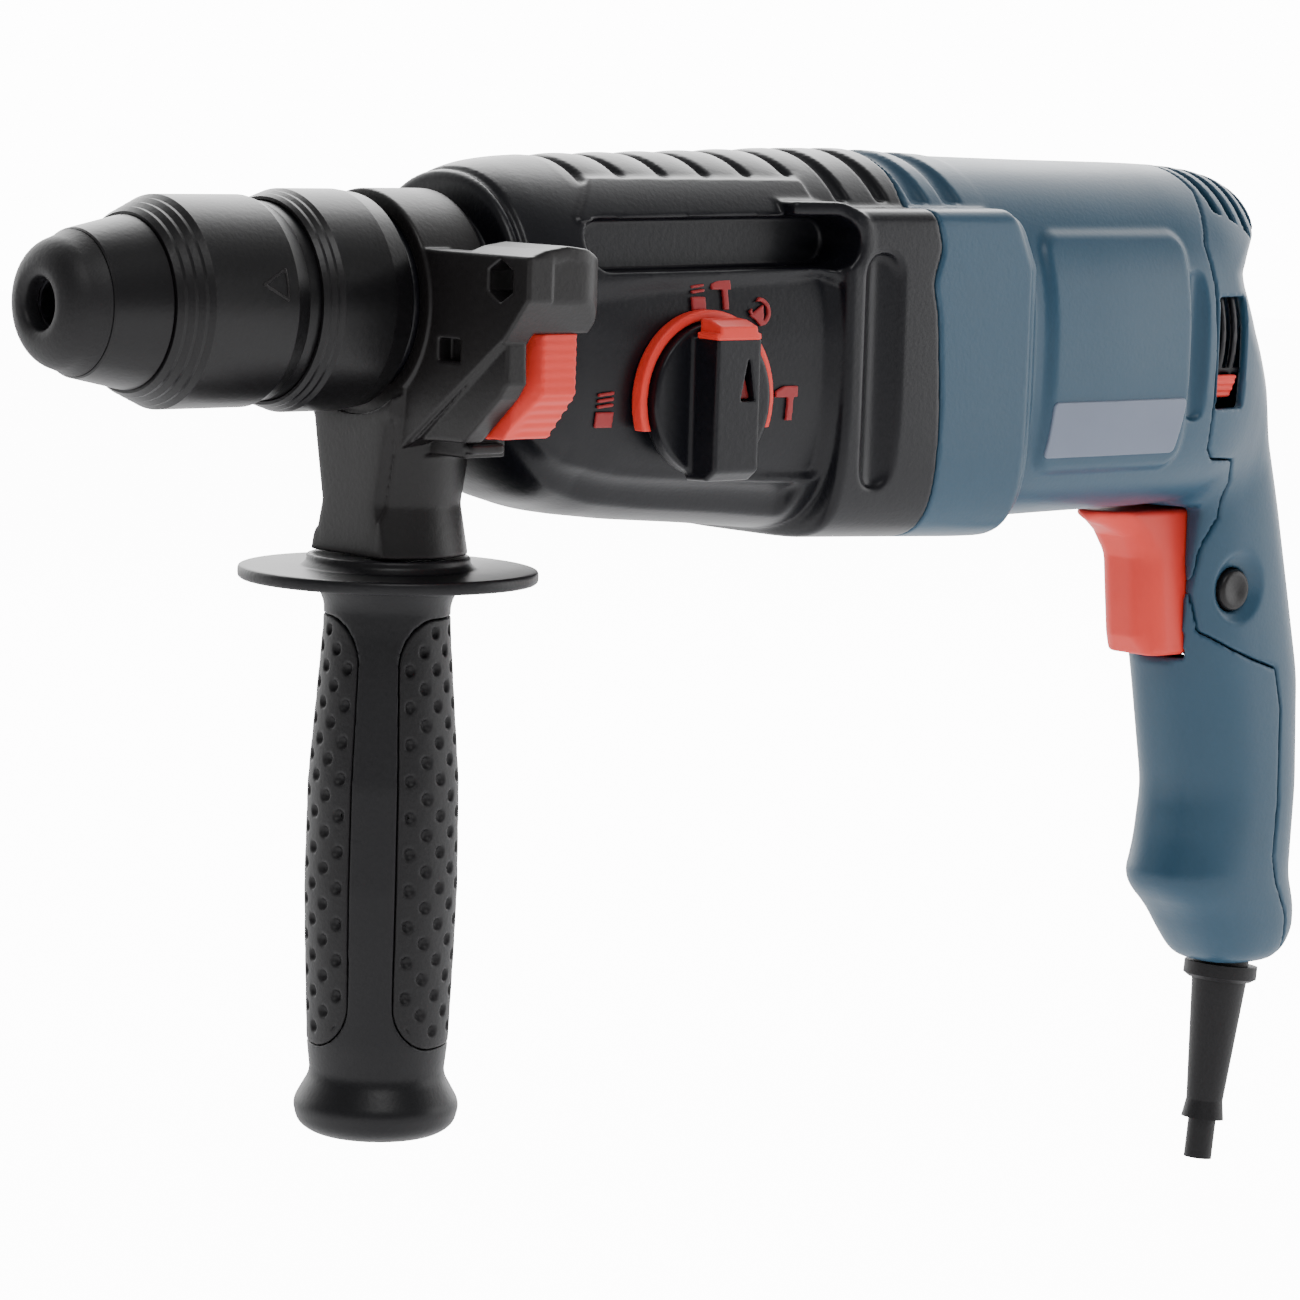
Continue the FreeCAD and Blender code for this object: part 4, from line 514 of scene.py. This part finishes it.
def blue_outside(g):
    """The skin with its cross grooves, the grip hollow, the trigger's notch and the lock button's dish."""
    body = skin = blue_skin(g)
    for x in (239.2, 250.5):
        body = without(body, groove_across(g, skin, x, 2.9, 2.1, 23), 0.6)
    hollowed = bead(g.x, g.z, (332, -27), (332, 2), 4.4)
    hollowed = both(hollowed, np.sqrt((g.x - 332) ** 2 + (g.side - 36.6) ** 2) - 4.4, 1.0)
    body = without(body, hollowed, 0.8)
    notch = both(both(g.x - 357.5, between(g.z, -98.5, -56.5), 2), 340 - g.x)
    body = without(body, notch, 1.5)
    dish = np.sqrt((g.x - LOCK_X) ** 2 + (g.y + 29.5) ** 2 + (g.z - LOCK_Z) ** 2) - 15.4
    return without(body, dish, 0.6)


def blue_openings(g):
    """Openings for the rear bearing, trigger, lock button, side windows, cord guard and air."""
    openings = [
        both(rod(g.y, g.z, 9.6, (0, MOTOR_Z)), between(g.x, 330, 344.3)),
        brick(g.x, g.y, g.z, ((330, 369.5), (-9.95, 9.95), (-97.4, -57.2)), 1.0),
        both(rod(g.x, g.z, 5.9, (LOCK_X, LOCK_Z)), between(g.y, -40, -10)),
        both(brick(g.x, g.side, g.z, ((341, 353.5), (20, 60), (-29, -0.2)), 1.0), 20 - g.side),
    ]
    lean = math.tan(math.radians(6.5))
    cord_x = span("cord_guard")[1][0] - 10
    openings.append(both(rod(g.x - (g.z + 175) * lean, g.y, 7.8, (cord_x, 0)), g.z + 170))
    for i in range(4):
        x = 347 + 6 * i
        openings.append(both(brick(g.x, g.y, g.z, ((x, x + 2.8), (-24, 24), (14, 60)), 0.8), 14 - g.z))
    return openings


def make_blue_housings():
    g = Grid((226, -41, -187), (413, 41, 38), 0.66)
    outer = blue_outside(g)
    hollow = outer + WALL
    seat = both(rod(g.y, g.z, 12.5, (0, MOTOR_Z)), between(g.x, 338.2, 346))
    bridge = both(between(g.x, 341.2, 346), np.abs(g.z - MOTOR_Z) - 5)
    inner = either(seat, both(bridge, both(hollow, g.x - 371)))
    body = either(without(outer, hollow), inner)
    for opening in blue_openings(g):
        body = without(body, opening)
    body = without(body, seam(g) - GAP, 0.5)
    cover = outline(g.x, g.z, COVER_LINE)
    front = without(body, cover - 0.2, 0.5)
    rear = both(body, cover + 0.2, 0.5)
    put(net("motor_housing_shell", g, front), BLUE, "root", ["motor_housing"])
    put(net("rear_cover_shell", g, rear), BLUE, "root", ["rear_cover"])


def make_name_plate():
    """The label, a plain plate with no marks."""
    g = Grid((274, -40, -44), (332, -30, -21), 0.3)
    motor = even(egg(g, MOTOR_ROWS, 2.25, 3.0), g.step)
    shape = outline(g.x, g.z, [(279, -27), (325, -27), (323.5, -38), (278.6, -38)], 1.6)
    plate = both(both(shape, np.abs(motor - 1.4) - 0.55, 0.3), g.y + 20)
    return put(net("name_plate_blank", g, plate), LABEL, "root", ["name_plate"])


# ---------------------------------------------------------------- controls

def make_trigger():
    g = Grid((318, -11, -99), (369, 11, -54), 0.4)
    half = 9.6
    side = outline(g.x, g.z, [(331, -59), (359.4, -59), (359.4, -95), (349, -95), (346.4, -91), (345.4, -82),
                              (344.6, -70), (341, -63.5), (335, -60.4)], 1.5)
    front = along(g.z, [(-98, 345), (-70, 342), (-62, 336), (-57, 329)], 1, 2.0)
    body = both(side, g.side - half, 2.0)
    body = both(body, g.side - half - (g.x - front - 5) * 0.9, 3.0)
    plunger = both(np.sqrt(g.y ** 2 + (g.z + 79) ** 2) - 3.4, between(g.x, 358, 366))
    body = either(body, plunger)
    return put(net("trigger_blade", g, body), RED, "trigger", ["trigger"])


def make_knob():
    g = Grid((KNOB_X - 20, -48, KNOB_Z - 20), (KNOB_X + 20, -23, KNOB_Z + 20), 0.36)
    x, z = g.x - KNOB_X, g.z - KNOB_Z
    across = np.sqrt(x * x + z * z)
    dial = both(across - DIAL_R, between(g.y, -38.2, -33.5), 1.0)
    neck = both(across - 9, between(g.y, -35, -30.4))
    bar = outline(x, g.y, [(-6.6, -30), (-5.8, -45.6), (6.4, -45.6), (6.8, -30)], 0.8)
    ends = outline(z, g.y, [(-18.4, -30), (-18, -43), (-15.5, -46.2), (14.6, -46.2), (14.6, -30)], 0.4)
    bar = both(both(bar, ends, 1.0), g.y + 36)
    body = either(either(dial, bar, 1.2), neck)
    over_arc = both(DIAL_R + 0.1 - across, -36.7 - g.y)
    body = without(body, over_arc)
    pocket = brick(x, g.y, z, ((-8, 8), (-60, -38.5), (14.6, 30)), 0.3)
    body = without(body, pocket)
    window = outline(x, z, [(1.4, 0.6), (5, 0.6), (3.4, 9.6)], 0.3)
    body = without(body, both(window, g.y + 43), 0.3)
    eccentric = both(np.sqrt(x * x + (z - 4) ** 2) - 2.5, between(g.y, -31, -24.6))
    body = either(body, eccentric)
    put(net("selector_knob_body", g, body), BLACK, "selector", ["selector_knob"])
    flag = both(outline(x, z, [(1.5, 0.8), (5, 0.8), (3.4, 6)], 0.1), between(g.y, -44.6, -42.4))
    put(net("selector_pointer", g, flag), DARK_RED, "selector")


def make_knob_button():
    g = Grid((KNOB_X - 8, -47.5, KNOB_Z + 9), (KNOB_X + 8, -37, KNOB_Z + 24), 0.3)
    x, z = g.x - KNOB_X, g.z - KNOB_Z
    side = outline(z, g.y, [(14.9, -39.4), (14.9, -46.1), (17.2, -45.8), (18.4, -42.6), (18.7, -39.4)], 0.5)
    body = both(side, np.abs(x) - 6.9 + 0.03 * x * x * (z > 16), 0.8)
    return put(net("selector_release", g, body), RED, "selector_button", ["selector_button"])


def make_mode_scale():
    g = Grid((KNOB_X - 22.5, -37.5, KNOB_Z - 22.5), (KNOB_X + 22.5, -32, KNOB_Z + 22.5), 0.4)
    x, z = g.x - KNOB_X, g.z - KNOB_Z
    across = np.sqrt(x * x + z * z)
    band = both(between(across, DIAL_R + 0.5, DIAL_R + 2.8), between(g.y, -36.1, -32.6), 0.5)
    band = both(band, -7 - z)
    return put(net("mode_arc", g, band), RED, "root", ["mode_scale"])


def mark(g, centre, size, corners):
    """A flat outline drawn on the left flank round a centre (x, z)."""
    return outline(g.x - centre[0], g.z - centre[1], [(x * size, z * size) for x, z in corners])


def drill_sign(g, centre, size):
    parts = [mark(g, centre, size, [(-2.4, -3.9), (2.4, -3.9), (2.4, -0.2), (-2.4, -0.2)])]
    for low in (0.6, 2.0, 3.4):
        turn = [(-2.2, low), (2.2, low + 0.5), (2.2, low + 1.3), (-2.2, low + 0.8)]
        parts.append(mark(g, centre, size, turn))
    return np.minimum.reduce(parts)


def mallet_sign(g, centre, size):
    head = mark(g, centre, size, [(-3.6, 1.3), (3.2, 1.3), (3.2, 4), (-1, 4), (-3.6, 2.8)])
    haft = mark(g, centre, size, [(0.2, -4.2), (1.9, -4.2), (1.9, 1.5), (0.2, 1.5)])
    return np.minimum(head, haft)


def turn_sign(g, centre):
    """An open ring with an arrow head."""
    opening = -(g.x - centre[0]) + np.abs(g.z - centre[1]) - 3.2
    ring = both(np.abs(rod(g.x, g.z, 2.9, centre)) - 0.5, opening)
    return np.minimum(ring, mark(g, centre, 1, [(-3, -0.9), (1.2, 1.7), (1, -3.3)]))


def make_signs():
    """Plain pictograms for drilling, hammer drilling, turning the bit and chiselling."""
    g = Grid((127, -36.5, -32), (197, -30, 9), 0.27)
    flat = np.minimum.reduce([
        drill_sign(g, (135.3, -24.4), 0.98), drill_sign(g, (161.9, 1.9), 0.86),
        mallet_sign(g, (169.2, 2.2), 0.86), mallet_sign(g, (189.4, -23.5), 1.0),
        turn_sign(g, (180.2, -1.9))])
    sign = both(both(flat, np.abs(gear_skin(g) + 1.3) - 0.42), g.y + 20)
    return put(net("mode_signs", g, sign), SIGN, "root")


def make_lock_button():
    g = Grid((LOCK_X - 7, -19, LOCK_Z - 7), (LOCK_X + 7, -12.5, LOCK_Z + 7), 0.3)
    across = np.sqrt((g.x - LOCK_X) ** 2 + (g.z - LOCK_Z) ** 2)
    body = both(across - 5.5, between(g.y, -17.2, -13.4), 1.4)
    bowl = np.sqrt(across ** 2 + (g.y + 26) ** 2) - 9.3
    body = without(body, bowl, 0.5)
    return put(net("lock_button_cap", g, body), CLAMP, "lock_button", ["lock_button"])


# ---------------------------------------------------------------- side handle

# Height and radius of the clamp's neck.
NECK_PROFILE = [(-60, 18.4), (-58, 18.2), (-46.6, 16.3), (-45.4, 16.4), (-26, 19), (-18, 19.4)]


def rod_block(g):
    """The arched block at the clamp's outer end that holds the depth stop rod."""
    crown = outline(g.x, g.z, [(88.6, -60), (88.6, 12.2), (94, 14), (100, 14.9), (106, 14.2), (112, 12.2),
                               (112, -60)])
    block = outline(g.y, g.z, [(-36, 20), (-59, 20), (-59, 2.8), (-50.6, -7), (-36, -18)])
    block = both(block, crown, 0.8)
    block = both(block, g.side + np.maximum(g.x - 102, 0) ** 2 * 0.045 - 59.6, 1.5)
    block = both(block, -4.8 - g.z, 0.5)
    inset = outline(g.x, g.z, [(93.6, 1), (93.6, 9.4), (100, 11.4), (109.6, 9.4), (109.6, 1)], 0.6)
    return without(block, both(inset, g.y + 58.6), 0.3)


def neck_recess(g, skin):
    """A shallow tongue-shaped step on the side of the neck, drawn over the angle round it in degrees."""
    turn = 41.5 - np.degrees(np.arctan2(-(g.x - GRIP_X), -g.y))
    tongue = outline(turn, g.z, [(-120, 0), (6, 0), (5, -34), (0, -46), (-8, -51), (-22, -53.6), (-50, -54),
                                 (-120, -52)])
    shallow = both(both(tongue * 0.3, -(skin + 0.8)), -g.z - 57.2)
    return both(shallow, g.z + 26, 2.0)


def clamp_holes(g):
    """The rod's hexagon, the blind slot, the stud's hole, the nut and room for the gear housing."""
    reach = np.sqrt(g.y ** 2 + g.z ** 2)
    across = np.abs(g.y - ROD_Y)
    hexagon = np.maximum(across, across * 0.5 + np.abs(g.z - ROD_Z) * 0.866) - ROD_FLAT
    slot = brick(g.x, g.y, g.z, ((80, 92.5), (-35.6, -28), (-12, -6.9)), 0.2)
    stud = both(rod(g.x, g.y, STUD_HOLE_R, (GRIP_X, 0)), g.z + 20)
    nut = both(rod(g.x, g.y, 7.6, (GRIP_X, 0)), between(g.z, -34, -24))
    sweep = (reach - 30.6 - np.clip(g.x - 110, 0, 9) * 1.35) * 0.6
    return [hexagon, slot, stud, nut, both(sweep, 109.9 - g.x)]


def make_clamp():
    g = Grid((86, -62, -61), (119, 27, 27), 0.42)
    hoop = both(rod(g.y, g.z, 25.3), between(g.x, 88, 106), 0.8)
    face = outline(g.y, g.z, [(2, 11), (-20, 12.6), (-59, 12.6), (-59, 2.8), (-50.6, -7), (-22, -30),
                              (-8, -36), (12, -36), (20, -18)])
    plate = both(face, between(g.x, 88.6, 96), 0.5)
    lower = outline(g.y, g.z, [(-20, -10), (-50.9, -7), (-51.2, -16), (-48.6, -19.4), (-36.2, -30),
                               (-18, -30.6)])
    second = both(lower, between(g.x, 89.6, 95.4), 0.5)
    shelf = brick(g.x, g.y, g.z, ((94, 104), (-34, -10), (-33, -30.6)), 0.8)
    web = brick(g.x, g.y, g.z, ((94, 106), (-31.5, -8), (-34, 0)), 0.5)
    neck_skin = rod(g.x, g.y, 0, (GRIP_X, 0)) - along(g.z, NECK_PROFILE, 1, 0.6)
    neck = both(neck_skin, between(g.z, -58.2, -19), 0.5)
    body = either(either(hoop, plate, 0.6), either(rod_block(g), shelf))
    body = either(either(body, second), either(web, neck, 2.0))
    body = without(body, neck_recess(g, neck_skin), 1.0)
    # A fine step runs down the plate's diagonal edge.
    line = np.abs((g.z + 7) * 34.6 - (g.y + 50.6) * -26) / 43.3
    body = without(body, both(both(line - 0.45, g.x - 89.2), between(g.y, -50.5, -17)))
    for hole in clamp_holes(g):
        body = without(body, hole)
    body = without(body, rod(g.y, g.z, 22.5))
    lip = both(between(np.sqrt(g.y ** 2 + g.z ** 2), COLLAR_R + 0.2, 24), between(g.x, 88, 90.5))
    body = either(body, lip)
    body = without(body, both(rod(g.y, g.z, 26.1), g.x - 88))
    return put(net("handle_clamp_body", g, body), CLAMP, "side_handle", ["handle_clamp"])


def make_depth_button():
    """The push button, with a bevelled front edge and fine ribs that are deeper on its slanted part."""
    g = Grid((94, -54, -32), (114, -34, -3), 0.36)
    front, rib_pitch = 96.2, 2.1
    side = outline(g.y, g.z, [(-51.4, -5), (-51.4, -18.5), (-42, -29), (-36, -29), (-36, -5)], 0.3)
    body = both(side, between(g.x, front, 109.6))
    bevel = -(g.x - front) * 0.9 - (g.y + 44.5) * 0.45
    body = both(body, bevel * 0.9 - 0.2, 0.4)
    depth = (0.05 + 0.09 * (g.z < -18)) * np.clip((g.x - 98.4) / 2, 0, 1)
    ribs = depth * np.cos(2 * math.pi * g.z / rib_pitch)
    body = body + np.where(g.y < -37, 0.2 + ribs, 0)
    button = net("depth_button_ribbed", g, body)
    return put(button, RED, "depth_stop_button", ["depth_stop_button"])


# The angle from -Y to the smooth band between the grip's pads, in degrees.
BAND_TURN = 45
# Middle height, half height, half width along the arc and corner radius of a pad.
PAD_Z, PAD_HALF, PAD_REACH, PAD_CORNER = -122.5, 50, 21.4, 11
# Height and radius of the grip.
GRIP_PROFILE = [(-196, 14), (-194, 15.6), (-191.5, 18.4), (-187, 19.5), (-183.5, 17.6), (-180, 15.6),
                (-172, 16.5), (-149, 17.4), (-135, 17.8), (-111, 17.5), (-92, 16), (-76, 14.8), (-70, 14.6),
                (-66, 16.4), (-64, 17)]


def grip_fields(g):
    """The grip's whole solid, the outline of its two pads and the angle from the smooth band between them."""
    across = rod(g.x, g.y, 0, (GRIP_X, 0))
    reach = along(g.z, GRIP_PROFILE, 1, 1.5)
    solid = both(both(across - reach, -194 - g.z, 3.0), g.z + 64.6)
    disc = both(across - 34.7, between(g.z, -64.6, -61.6), 1.0)
    rings = both(across - 18.9 - np.clip(-60.2 - g.z, 0, 1), between(g.z, -62, -58.7), 0.4)
    solid = either(either(solid, disc, 1.2), rings, 0.8)
    turn = np.arctan2(-(g.x - GRIP_X), -g.y) - math.radians(BAND_TURN)
    turn = np.abs((turn + math.pi) % (2 * math.pi) - math.pi)
    arc = np.abs(turn - math.pi / 2) * 17 - PAD_REACH
    rise = np.abs(g.z - PAD_Z) - PAD_HALF
    corner = np.sqrt(np.maximum(arc + PAD_CORNER, 0) ** 2 + np.maximum(rise + PAD_CORNER, 0) ** 2)
    pads = np.maximum(corner - PAD_CORNER, np.maximum(arc, rise))
    return solid, pads, np.degrees(turn)


def dimpled(solid, pads, turn, z):
    """Staggered pits over the pads, in columns by angle and rows by height."""
    column_turn, row_pitch, first = 14, 8.4, 28
    column = np.round((turn - first) / column_turn)
    off = np.radians(turn - first - column * column_turn) * 17.2
    drop = z / row_pitch + 0.5 * (column % 2)
    rise = (drop - np.round(drop)) * row_pitch
    pits = np.sqrt(off ** 2 + rise ** 2 + (solid - 0.5) ** 2) - 1.6
    return both(pits, pads + 1.8)


def make_grip():
    """The grip with its disc, sunk where the pads lie."""
    g = Grid((62, -36, -195.5), (134, 36, -58), 0.45)
    solid, pads, turn = grip_fields(g)
    solid = without(solid, both(rod(g.x, g.y, STUD_HOLE_R, (GRIP_X, 0)), -95.5 - g.z))
    holder = without(solid, both(pads, -solid - 1.7), 0.4)
    return put(net("side_grip_body", g, holder), GRIP, "side_grip", ["side_grip"])


def make_cushions():
    """The two soft pads of the grip."""
    g = Grid((GRIP_X - 19, -19, -174), (GRIP_X + 19, 19, -71), 0.36)
    solid, pads, turn = grip_fields(g)
    cushion = both(both(solid, pads + 0.2, 0.4), -solid - 1.5)
    cushion = without(cushion, dimpled(solid, pads, turn, g.z), 0.2)
    return put(net("grip_cushions", g, cushion), RUBBER, "side_grip", ["grip_pads"])


# ---------------------------------------------------------------- window, lever and chuck

# Distance of the window bars' outer faces from the motor's axis.
BAR_TOP = 31.0


def make_window():
    """Curved bars in both side windows, set deep enough for the direction lever to pass over them."""
    g = Grid((338, -36, -31), (357, 36, 3), 0.36)
    depth = between(np.sqrt(g.y ** 2 + (g.z - MOTOR_Z) ** 2), 29.65, BAR_TOP)
    bars = np.minimum(between(g.x, 345.2, 346.9), between(g.x, 349.4, 351.1))
    bars = both(both(bars, between(g.z, -29.4, 1.4)), depth, 0.3)
    sill = both(both(between(g.z, -20, -18.6), depth), between(g.x, 345.2, 353.8))
    grille = both(np.minimum(bars, sill), 20 - g.side)
    return put(net("window_grille", g, grille), BLACK, "root")


def make_lever():
    """The red tab of the direction lever, on a narrow stem in front of the window's bars."""
    low, high = span("direction_lever")
    centre = (low + high) / 2
    g = Grid(low - 3, high + 3, 0.3)
    reach = np.sqrt(g.y ** 2 + (g.z - MOTOR_Z) ** 2)
    rise = g.z - centre[2] - 0.4
    tall = np.abs(rise) - 3
    body = both(both(between(g.x, 341.8, 351), between(reach, BAR_TOP + 0.3, 33.2), 0.6), tall, 0.8)
    for height in (-1.7, 0, 1.7):
        groove = np.sqrt((rise - height) ** 2 + (reach - 33.4) ** 2) - 0.6
        body = without(body, groove, 0.2)
    stem = both(both(between(g.x, 341.9, 344.4), between(reach, 28.8, 32)), tall + 0.8)
    return put(net("lever_tab", g, either(body, stem)), RED, "brush_ring", ["direction_lever"])


def lathe(name, profile, steps=144):
    """A closed turned solid about the X axis from a closed outline of (x, radius) corners."""
    spots = []
    for i in range(steps):
        turn = 2 * math.pi * i / steps
        spots += [(x, r * math.cos(turn), r * math.sin(turn)) for x, r in profile]
    count = len(profile)
    faces = []
    for i in range(steps):
        here, there = i * count, (i + 1) % steps * count
        for j in range(count):
            k = (j + 1) % count
            faces.append((here + j, there + j, there + k, here + k))
    piece = add_mesh(name, spots, faces)
    piece.data.set_sharp_from_angle(angle=math.radians(34))
    return piece


def arc_points(centre, radius, start, end, count):
    """Corners along an arc, with its angles in degrees from +X towards growing radius."""
    turns = [math.radians(start + (end - start) * i / (count - 1)) for i in range(count)]
    return [(centre[0] + radius * math.cos(t), centre[1] + radius * math.sin(t)) for t in turns]


def make_dust_cap():
    """The rubber nose: a round lip, a swelling dome and a fine bead at its rear edge."""
    dome = arc_points((7.2, 7.6), 7.2, 178, 102, 14)
    rear = [(8.2, 15.6), (8.9, 16.0), (9.2, 15.9), (9.2, 13.3), (4.2, 13.3), (4.2, 5.8), (1.6, 5.8)]
    lip = arc_points((1.6, 7.2), 1.4, 250, 190, 6)
    put(lathe("dust_cap_rubber", lip + dome + rear), RUBBER, "spindle", ["dust_cap"])


def wrap(name, lines, radius, turn, body):
    """Thin raised strokes on a turned sleeve, drawn in millimetres along X and round the sleeve."""
    half, height, reach = 0.35, 0.22, 10
    edge, middle_x = radius + 1, lines[0][0][0]
    g = Grid((middle_x - 14, -edge, -edge), (middle_x + 14, edge, edge), 0.3)
    around = (np.arctan2(g.z, -g.y) - math.radians(turn)) * radius
    strokes = [bead(g.x, around, a, b, half) for line in lines for a, b in zip(line, line[1:])]
    level = np.sqrt(g.y ** 2 + g.z ** 2) - radius
    marks = both(both(np.minimum.reduce(strokes), np.abs(level) - height, 0.1), np.abs(around) - reach)
    return put(net(name, g, marks), CLAMP, body)


def make_marks():
    """An arrow on the locking sleeve, and an outlined padlock with a slanted arrow on the change ring."""
    sleeve_r, ring_r = 23.7, 24.85
    arrow = [[(50, -3.4), (50, 3.4), (43.6, 0), (50, -3.4)]]
    wrap("sleeve_arrow", arrow, sleeve_r, 12, "locking_sleeve")
    lock = [[(75, 1), (75, 5.4), (70.6, 5.4), (70.6, 1), (75, 1)],
            [(70.6, 2), (69, 2), (67.8, 3.2), (69, 4.4), (70.6, 4.4)]]
    wrap("ring_padlock", lock, ring_r, 14, "change_ring")
    slant = [[(74.4, -4), (69.6, -6.8), (74.4, -8.4), (74.4, -4)]]
    wrap("ring_arrow", slant, ring_r, -24, "change_ring")


# ---------------------------------------------------------------- stage

def glow(tree, socket, seen, unseen):
    """Feeds a strength socket with one value for the camera's own rays and another for all others."""
    path = tree.nodes.new("ShaderNodeLightPath")
    choose = tree.nodes.new("ShaderNodeMapRange")
    choose.inputs["To Min"].default_value = unseen
    choose.inputs["To Max"].default_value = seen
    tree.links.new(path.outputs["Is Camera Ray"], choose.inputs["Value"])
    tree.links.new(choose.outputs["Result"], socket)
    return choose


def make_world():
    """White all round, but dim on the camera's side, so that dark plastic stays dark with bright edges."""
    world = bpy.data.worlds.new("studio")
    bpy.context.scene.world = world
    world.use_nodes = True
    tree = world.node_tree
    sky = tree.nodes["Background"]
    sky.inputs["Color"].default_value = (1, 1, 1, 1)
    choose = glow(tree, sky.inputs["Strength"], 14.0, 1.0)
    place = tree.nodes.new("ShaderNodeTexCoord")
    facing = tree.nodes.new("ShaderNodeVectorMath")
    facing.operation = "DOT_PRODUCT"
    facing.inputs[1].default_value = (-0.62, -0.78, 0.0)
    tree.links.new(place.outputs["Generated"], facing.inputs[0])
    dim = tree.nodes.new("ShaderNodeMapRange")
    dim.inputs["From Min"].default_value = -0.8
    dim.inputs["From Max"].default_value = -0.2
    dim.inputs["To Min"].default_value = 4.0
    dim.inputs["To Max"].default_value = 0.28
    tree.links.new(facing.outputs["Value"], dim.inputs["Value"])
    tree.links.new(dim.outputs["Result"], choose.inputs["To Min"])


def make_stage():
    """A plain pale floor below the cord's end, the world and three soft lamps."""
    reach, low = 4000, -246
    spots = [(-reach, -reach, low), (reach, -reach, low), (reach, reach, low), (-reach, reach, low)]
    floor = add_mesh("studio_floor", spots, [(0, 1, 2, 3)])
    floor.data.materials.append(material("pale_floor", (0.86, 0.86, 0.87), 0.8, 0.02, 0.01, pitch=60))
    tree = floor.data.materials[0].node_tree
    shader = tree.nodes["Principled BSDF"]
    shader.inputs["Emission Color"].default_value = (1, 1, 1, 1)
    glow(tree, shader.inputs["Emission Strength"], 12.0, 0.4)
    make_world()
    target = Vector((0.2, 0, -0.05))
    lamps = [("key", (-0.5, -1.1, 1.5), 0.9, 13), ("back", (0.9, 1.0, 0.8), 1.2, 14),
             ("side", (1.6, -0.9, 0.2), 0.8, 6)]
    for name, place, width, power in lamps:
        lamp = bpy.data.lights.new(name, "AREA")
        lamp.size = width
        lamp.energy = power
        holder = bpy.data.objects.new(name, lamp)
        holder.location = place
        holder.rotation_euler = (target - Vector(place)).to_track_quat("-Z", "Y").to_euler()
        bpy.context.scene.collection.objects.link(holder)


def make_camera():
    """A long lens in front of the tool's left side, a little above it and slightly rolled."""
    azimuth, height, roll = (math.radians(v) for v in (-41.385, 7.017, 1.742))
    target, distance = Vector((0.179084, 0, -0.085729)), 1.16587
    level = math.cos(height)
    back = Vector((math.sin(azimuth) * level, -math.cos(azimuth) * level, math.sin(height)))
    right = Vector((math.cos(azimuth), math.sin(azimuth), 0))
    up = back.cross(right)
    tipped_right = right * math.cos(roll) + up * math.sin(roll)
    tipped_up = up * math.cos(roll) - right * math.sin(roll)
    lens = bpy.data.cameras.new("camera")
    lens.lens, lens.sensor_width = 133.4, 36
    lens.clip_start, lens.clip_end = 0.05, 50
    turned = Matrix((tipped_right, tipped_up, back)).transposed().to_4x4()
    camera = bpy.data.objects.new("camera", lens)
    camera.matrix_world = Matrix.Translation(target + back * distance) @ turned
    bpy.context.scene.collection.objects.link(camera)
    bpy.context.scene.camera = camera


finish_nodes()
make_gear_housing()
make_blue_housings()
make_name_plate()
make_trigger()
make_knob()
make_knob_button()
make_mode_scale()
make_signs()
make_lock_button()
make_clamp()
make_depth_button()
make_grip()
make_cushions()
make_window()
make_lever()
make_dust_cap()
make_marks()
make_stage()
make_camera()
